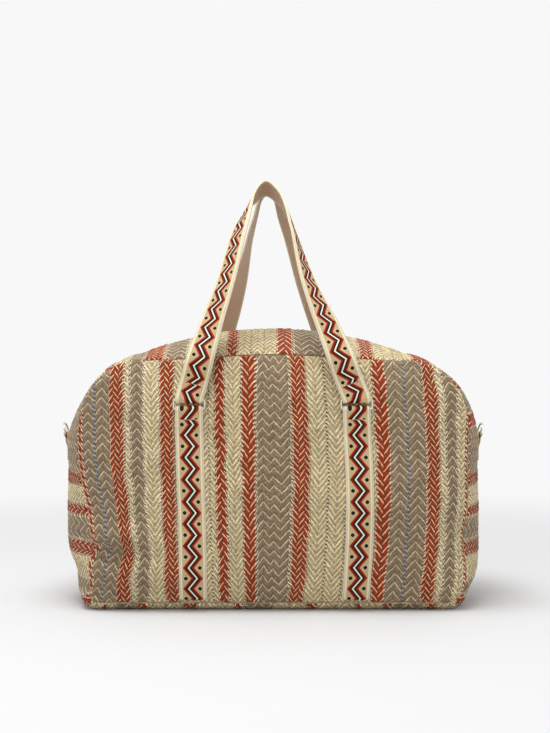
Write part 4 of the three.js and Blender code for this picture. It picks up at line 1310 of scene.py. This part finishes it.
def tube(name, line, body, sides=14):
    """A closed ring of round wire along a closed line of points."""
    tangent = unit(np.roll(line, -1, 0) - np.roll(line, 1, 0))
    plane = unit(np.cross(line[0] - line.mean(0), tangent[0]))
    flat = np.cross(tangent, plane)
    angles = np.linspace(0, 2 * math.pi, sides, endpoint=False)[None, :, None]
    points = line[:, None] + WIRE / 2 * (np.cos(angles) * flat[:, None] + np.sin(angles) * plane)
    total = len(line) * sides
    quads = rings_of_faces(len(line) + 1, sides, flip=True)
    faces = [[i % total for i in quad] for quad in quads]
    return new_object(name, points.reshape(-1, 3), faces, ring_metal, body)


def rounded_outline(half_width, half_height, radius, per_corner=8, per_side=6):
    """A rectangle with round corners as points in a plane."""
    points = []
    centres = [(1, -1, -90), (1, 1, 0), (-1, 1, 90), (-1, -1, 180)]
    for sx, sy, start in centres:
        for k in range(per_corner + 1):
            angle = math.radians(start + 90 * k / per_corner)
            x = sx * (half_width - radius) + radius * math.cos(angle)
            points.append((x, sy * (half_height - radius) + radius * math.sin(angle)))
    dense = []
    for a, b in zip(points, points[1:] + points[:1]):
        count = per_side if math.dist(a, b) > 3 else 1
        steps = [k / count for k in range(count)]
        dense += [(a[0] + (b[0] - a[0]) * t, a[1] + (b[1] - a[1]) * t) for t in steps]
    return np.array(dense)


RING_CORNER = 2.7


def add_ring(face, side):
    half_width, half_height = ((inner + WIRE) / 2 for inner in RING_INNER)
    outline = rounded_outline(half_width, half_height, RING_CORNER)
    centre = (side * ANCHOR_X, -BAR_DEPTH, RING_HEIGHT + BAR_SPACING / 2)
    line = np.stack([outline[:, 0], 0 * outline[:, 0], outline[:, 1]], -1) + np.array(centre)
    line = turned(line) if face == "back" else line
    where = place_name(face, side)
    ring = tube(f"wire_ring_{face}_{where}", line, f"{face}_{where}_ring")
    finish_piece(ring, [f"ring_{face}_{where}"])


def d_outline():
    """The D-ring's centreline: the straight bar on y = 0 and the bow above it."""
    half, top = (D_INNER[0] + WIRE) / 2, D_INNER[1] + WIRE / 2
    rise = half * 0.75
    angles = np.linspace(0, math.pi, 28)
    bow = [(half * math.cos(a), top - rise + rise * math.sin(a)) for a in angles]
    corner = 1.6
    left = [(-half, corner), (-half + 0.3 * corner, 0.3 * corner), (-half + corner, 0)]
    bar = [(x, 0.0) for x in np.linspace(-half + corner + 1, half - corner - 1, 12)]
    right = [(half - corner, 0), (half - 0.3 * corner, 0.3 * corner), (half, corner)]
    return np.array(bow + left + bar + right)


def add_d_ring(side):
    outline = d_outline()
    out, up = outline[:, 1] * math.sin(D_LEAN), outline[:, 1] * math.cos(D_LEAN)
    line = np.stack([out, outline[:, 0], up], -1) + np.array([D_BAR_X, 0, D_BAR_HEIGHT])
    where = "right" if side > 0 else "left"
    line = line if side > 0 else turned(line)
    ring = tube(f"wire_d_ring_{where}", line, f"{where}_d_ring")
    finish_piece(ring, [f"d_ring_{where}"])


TAB_THICKNESS = 1.6
TAB_STITCHES = 8.2
TAB_SEAM = D_BAR_HEIGHT - 13


def add_d_tab(side):
    behind = D_BAR_X - LOOP_INNER
    profile = [(WALL + 0.6, TAB_BOTTOM), (WALL + 0.6, 186), (WALL + 0.6, D_BAR_HEIGHT - 22)]
    rising = [(WALL + 0.9, 17), (behind + 0.7, 10), (behind + 1.4, 5)]
    profile += [(x, D_BAR_HEIGHT - drop) for x, drop in rising]
    for angle in np.linspace(0, math.pi, 6):
        up = LOOP_INNER * math.sin(angle)
        profile.append((D_BAR_X + LOOP_INNER * math.cos(angle), D_BAR_HEIGHT + up))
    profile += [(behind, D_BAR_HEIGHT - 5), (behind, D_BAR_HEIGHT - 9)]
    path = curve_through([(x, 0.0, z) for x, z in profile], PATH_STEP)
    across = np.tile([0.0, 1.0, 0], (len(path), 1))
    where = "right" if side > 0 else "left"
    back = side < 0
    shape = turned if back else None
    tab = ribbon(f"tab_d_ring_{where}", path, across, TAB_WIDTH, 0, TAB_THICKNESS, 1.6, "shell",
                 materials["backing"], (shape, back))
    finish_piece(tab, [f"d_ring_tab_{where}"])
    height = TAB_THICKNESS - 0.05
    lines = edge_lines(path, across, TAB_STITCHES, height, slice(3, 36), shape)
    middle = int(np.argmin(np.abs(path[:40, 2] - TAB_SEAM)))
    lines.append(cross_line(path, across, middle, TAB_STITCHES, height, shape))
    add_stitches(f"d_ring_tab_{where}", lines, 2.8, "shell", back)


def soften_metal(node, width):
    """A CAD metal part keeps its shape and gets worn round edges."""
    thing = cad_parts[node]
    bevel = thing.modifiers.new("worn_edges", "BEVEL")
    bevel.width, bevel.segments, bevel.limit_method = width * MM, 2, "ANGLE"
    bevel.angle_limit = math.radians(35)
    thing.data.materials.clear()
    thing.data.materials.append(materials["metal"])


# ---------------------------------------------------------------- zip

TOOTH_PITCH = 2.4
TAPE_TOP = 9.0
TAPE_THICKNESS = 0.8
TEETH_TOP = 6.5
ZIP_STITCHES = 11.3
ZIP_COVER_DEPTH = 12.3
SIDES = (("front", -1), ("back", 1))
ENDS = (("left", -1), ("right", 1))


def crown_grid(travel, offsets):
    """A grid over the top of the bag, along the zip and across it, with its normals."""
    t, y = np.meshgrid(travel, offsets, indexing="ij")
    point, normal = crown_line(t)
    point[..., 1] = y
    return point, normal


def add_tape(name, side):
    travel = np.arange(-ZIP_TRAVEL + 0.5, ZIP_TRAVEL, 1.2)
    point, normal = crown_grid(travel, side * np.linspace(0.6, 15.5, 9))
    ribs = 0.14 * np.cos(np.arange(len(travel)) * math.pi)[:, None, None]
    outer = point - normal * (TAPE_TOP - ribs)
    points, faces = cloth_slab(settle(outer), TAPE_THICKNESS, normal, step=6)
    tape = new_object(f"tape_{name}", points, faces, materials["tape"], "shell")
    finish_piece(tape, [f"zip_tape_{name}"])


# Across the zip: where a tooth's rings of corners lie, how wide and how tall they are.
TOOTH_STATIONS = [
    (0.0, 0.55, 0.5), (0.25, 0.85, 0.85), (0.9, 0.85, 1.0), (1.4, 0.5, 0.8), (2.3, 0.5, 0.7),
    (2.45, 0.3, 0.5),
]
TOOTH_CORNERS = [(-1, 0.15), (-0.75, 1), (0.75, 1), (1, 0.15), (1, -0.9), (-1, -0.9)]


def tooth_block():
    """One tooth: a rounded bar across the zip with a bead at its inner end."""
    points = []
    for at, wide, tall in TOOTH_STATIONS:
        points += [(u * wide, at + 0.25, (h - 1) * tall - TEETH_TOP) for u, h in TOOTH_CORNERS]
    faces = rings_of_faces(len(TOOTH_STATIONS), 6, flip=True)
    faces.append(list(range(5, -1, -1)))
    faces.append([len(points) - 6 + k for k in range(6)])
    return np.array(points), faces


def add_teeth(name, side):
    block, block_faces = tooth_block()
    if side < 0:
        block_faces = [face[::-1] for face in block_faces]
    shift = TOOTH_PITCH / 2 if side > 0 else 0.0
    travel = np.arange(-ZIP_TRAVEL + 3 + shift, ZIP_TRAVEL - 3, TOOTH_PITCH)
    point, normal = crown_line(travel)
    along = np.stack([normal[:, 2], 0 * travel, -normal[:, 0]], -1)
    outward = np.array([0, side, 0])
    places = [(p, a, outward, n) for p, a, n in zip(point, along, normal)]
    points, faces = copies(block, block_faces, places)
    metal = materials["metal"]
    thing = new_object("teeth_" + name, settle(points), faces, metal, "shell", smooth_faces=False)
    finish_piece(thing, [f"zip_teeth_{name}"])


def add_zip():
    for name, side in SIDES:
        add_tape(name, side)
        add_teeth(name, side)
        travel = np.arange(-ZIP_TRAVEL + 4, ZIP_TRAVEL - 4, 1.5)
        line = zip_gusset_surface(travel, side * ZIP_STITCHES / SEAM_HALF_DEPTH + 0 * travel)
        up = crown_line(travel)[1]
        row = settle(line + up * 0.75)
        add_stitches(f"zip_{name}", [(row, up)], 3.6, "shell", False)
    for name, side in ENDS:
        travel = side * np.linspace(ZIP_TRAVEL - 14, ZIP_TRAVEL - 1, 14)
        point, normal = crown_grid(travel, np.linspace(-13, 13, 20))
        points, faces = cloth_slab(point - normal * ZIP_COVER_DEPTH, BACKING, normal, step=4)
        cover = new_object(f"cover_zip_end_{name}", points, faces, materials["backing"], "shell")
        finish_piece(cover, [f"zip_end_tab_{name}"])
    for name, _ in ENDS:
        soften_metal(f"zip_slider_{name}", 0.3)
        soften_metal(f"zip_pull_{name}", 0.35)


# ---------------------------------------------------------------- inside

LINING_THICKNESS = 0.8
POCKET_HEM = 222.0


def lining_piece(name, node, u_lines, v_lines, surface, depth=LINING_DEPTH, hem=None):
    """A lining at a depth under a surface. hem(v) is how much nearer it comes."""
    u, v = np.meshgrid(u_lines, v_lines, indexing="ij")
    points = surface(u, v)
    normals = grid_normals(points)
    v_is_share = v_lines[-1] <= 1
    slack = waves(len(node), 8, 30, 90)(u, v * (300.0 if v_is_share else 1.0))
    under = depth + 0.3 + 0.3 * slack
    if hem is not None:
        under = under - hem(v)
    outer = settle(points - normals * under[..., None])
    normals = grid_normals(settle(points))
    mesh_points, faces = cloth_slab(outer, LINING_THICKNESS, normals, step=3)
    thing = new_object(name, mesh_points, faces, materials["lining"], "shell")
    return finish_piece(thing, [node])


def add_linings():
    """The hanging linings, each with its flat size in metres."""
    sheets = []
    x_lines = -SEAM_HALF_WIDTH * np.cos(math.pi * np.linspace(0.08, 0.92, 110))
    shares = np.linspace(0.03, 0.97, 80)
    for name, side in SIDES:
        surface = panel_surface(side)
        piece = lining_piece(f"lining_panel_{name}", f"lining_{name}", x_lines, shares, surface)
        sheets.append((piece, (0.468, 0.285)))
    rows = np.linspace(SIDE_FROM - 8, ZIP_FROM - 0.5, 60)
    depths = np.linspace(-85, 85, 56)
    for name, side in ENDS:
        surface = lambda u, v: gusset_surface(side * u, v / SEAM_HALF_DEPTH)
        piece = lining_piece(f"lining_end_{name}", f"lining_side_{name}", rows, depths, surface)
        sheets.append((piece, (0.172, 0.193)))
    travel = np.linspace(-ZIP_TRAVEL + 0.5, ZIP_TRAVEL - 0.5, 180)
    depths = np.linspace(18, 84, 24)
    for name, side in SIDES:
        surface = lambda u, v: gusset_surface(crown_distance(u), side * v / SEAM_HALF_DEPTH)
        piece = lining_piece(f"lining_crown_{name}", f"lining_top_{name}", travel, depths, surface)
        sheets.append((piece, (0.575, 0.07)))
    return sheets


def flat_piece(name, node, half_length, half_width, top, thickness, material, cell=4.0):
    """A flat piece on the floor of the bag with softened edges."""
    x = np.linspace(-half_length, half_length, int(2 * half_length / cell))
    y = np.linspace(-half_width, half_width, int(2 * half_width / cell))
    u, v = np.meshgrid(x, y, indexing="ij")
    away = np.minimum(half_length - np.abs(u), half_width - np.abs(v))
    drop = 0.25 * np.clip(1 - away / 2, 0, 1) ** 2
    points = np.stack([u, v, top - drop], -1)
    normals = np.zeros_like(points)
    normals[..., 2] = 1
    mesh_points, faces = cloth_slab(points, thickness - 0.25, normals, step=4)
    return finish_piece(new_object(name, mesh_points, faces, material, "shell"), [node])


def add_inside():
    sheets = add_linings()
    flat_piece("board_base", "base_board", 205, 76, 6.0, 3.0, materials["board"])
    base = flat_piece("lining_floor", "lining_base", 205, 80, 7.3, LINING_THICKNESS,
                      materials["lining"])
    sheets.append((base, (0.41, 0.16)))
    surface = lambda x, z: np.stack([x, panel_depth_at(x, z), z], -1)
    hem = lambda z: -0.45 * smooth((z - POCKET_HEM) / 2.5)
    across, up = np.linspace(-100, 100, 70), np.linspace(90, 230, 50)
    depth = LINING_DEPTH + 1.9
    piece = lining_piece("pocket_slip", "slip_pocket", across, up, surface, depth, hem)
    sheets.append((piece, (0.2, 0.14)))


# ---------------------------------------------------------------- studio

LIT_POINT = (0, 0, 0.2)
FLOOR_REACH = 6.0


def add_camera():
    camera = bpy.data.cameras.new("camera")
    camera.sensor_width = 36.0
    camera.lens = 59.9
    thing = bpy.data.objects.new("camera", camera)
    thing.location = (0.0025, -1.6, 0.302)
    thing.rotation_euler = (math.radians(90), 0, 0)
    bpy.context.scene.collection.objects.link(thing)
    bpy.context.scene.camera = thing


def add_area(name, location, size, power, colour=(1, 1, 1)):
    """A soft light, in metres and watts, turned towards the bag's middle."""
    light = bpy.data.lights.new(name, "AREA")
    light.shape, light.size, light.size_y = "RECTANGLE", size[0], size[1]
    light.energy, light.color = power, colour
    thing = bpy.data.objects.new(name, light)
    thing.location = location
    bpy.context.scene.collection.objects.link(thing)
    x, y, z = np.array(LIT_POINT) - np.array(location)
    thing.rotation_euler = (math.atan2(math.hypot(x, y), -z), 0, math.atan2(-x, y))


def add_studio():
    world = bpy.data.worlds.new("studio")
    world.use_nodes = True
    world.node_tree.nodes["Background"].inputs["Color"].default_value = (*BACKDROP, 1)
    bpy.context.scene.world = world
    bpy.context.scene.view_settings.view_transform = "Standard"
    floor = floor_material()
    sheet = bpy.data.meshes.new("floor")
    turns = [(-1, -1), (1, -1), (1, 1), (-1, 1)]
    corners = [(x * FLOOR_REACH, y * FLOOR_REACH, 0) for x, y in turns]
    sheet.from_pydata(corners, [], [[0, 1, 2, 3]])
    sheet.materials.append(floor)
    thing = bpy.data.objects.new("floor", sheet)
    bpy.context.scene.collection.objects.link(thing)
    add_area("key", (-1.0, -1.9, 1.6), (1.4, 1.4), 10.2)
    add_area("overhead", (-0.2, -0.3, 1.75), (0.9, 0.7), 23, (0.94, 0.97, 1.0))
    add_area("fill", (1.7, -1.4, 1.0), (1.4, 1.4), 3)


add_camera()
add_studio()
cloth_material = woven_material("woven_cloth")
materials = {
    "lining": plain_cloth("lining_cloth", linear(206, 190, 156), weave=0.0011),
    "board": plain_cloth("board_fibre", linear(112, 98, 84), weave=0.0025, tone=0.4, sheen=0.0),
    "tape": plain_cloth("zip_tape_weave", linear(214, 196, 158), weave=0.0008),
    "metal": metal_material("zip_metal", linear(222, 206, 168), 0.22),
    "backing": plain_cloth(
        "strap_backing_cloth", TAN, weave=0.0008, tone=0.4, roughness=0.8, edge=TAN_EDGE
    ),
    "trim": trim_material("woven_trim"),
    "thread": plain_cloth("thread", THREAD, weave=0.0006, roughness=0.7),
}
ring_metal = metal_material("ring_metal", linear(222, 216, 202), 0.16)
add_panels(cloth_material)
add_gussets(cloth_material)
add_inside()
add_zip()
for face in ("front", "back"):
    for side in (-1, 1):
        add_anchor(face, side)
        add_ring(face, side)
    add_handle(face)
for side in (-1, 1):
    add_d_ring(side)
    add_d_tab(side)
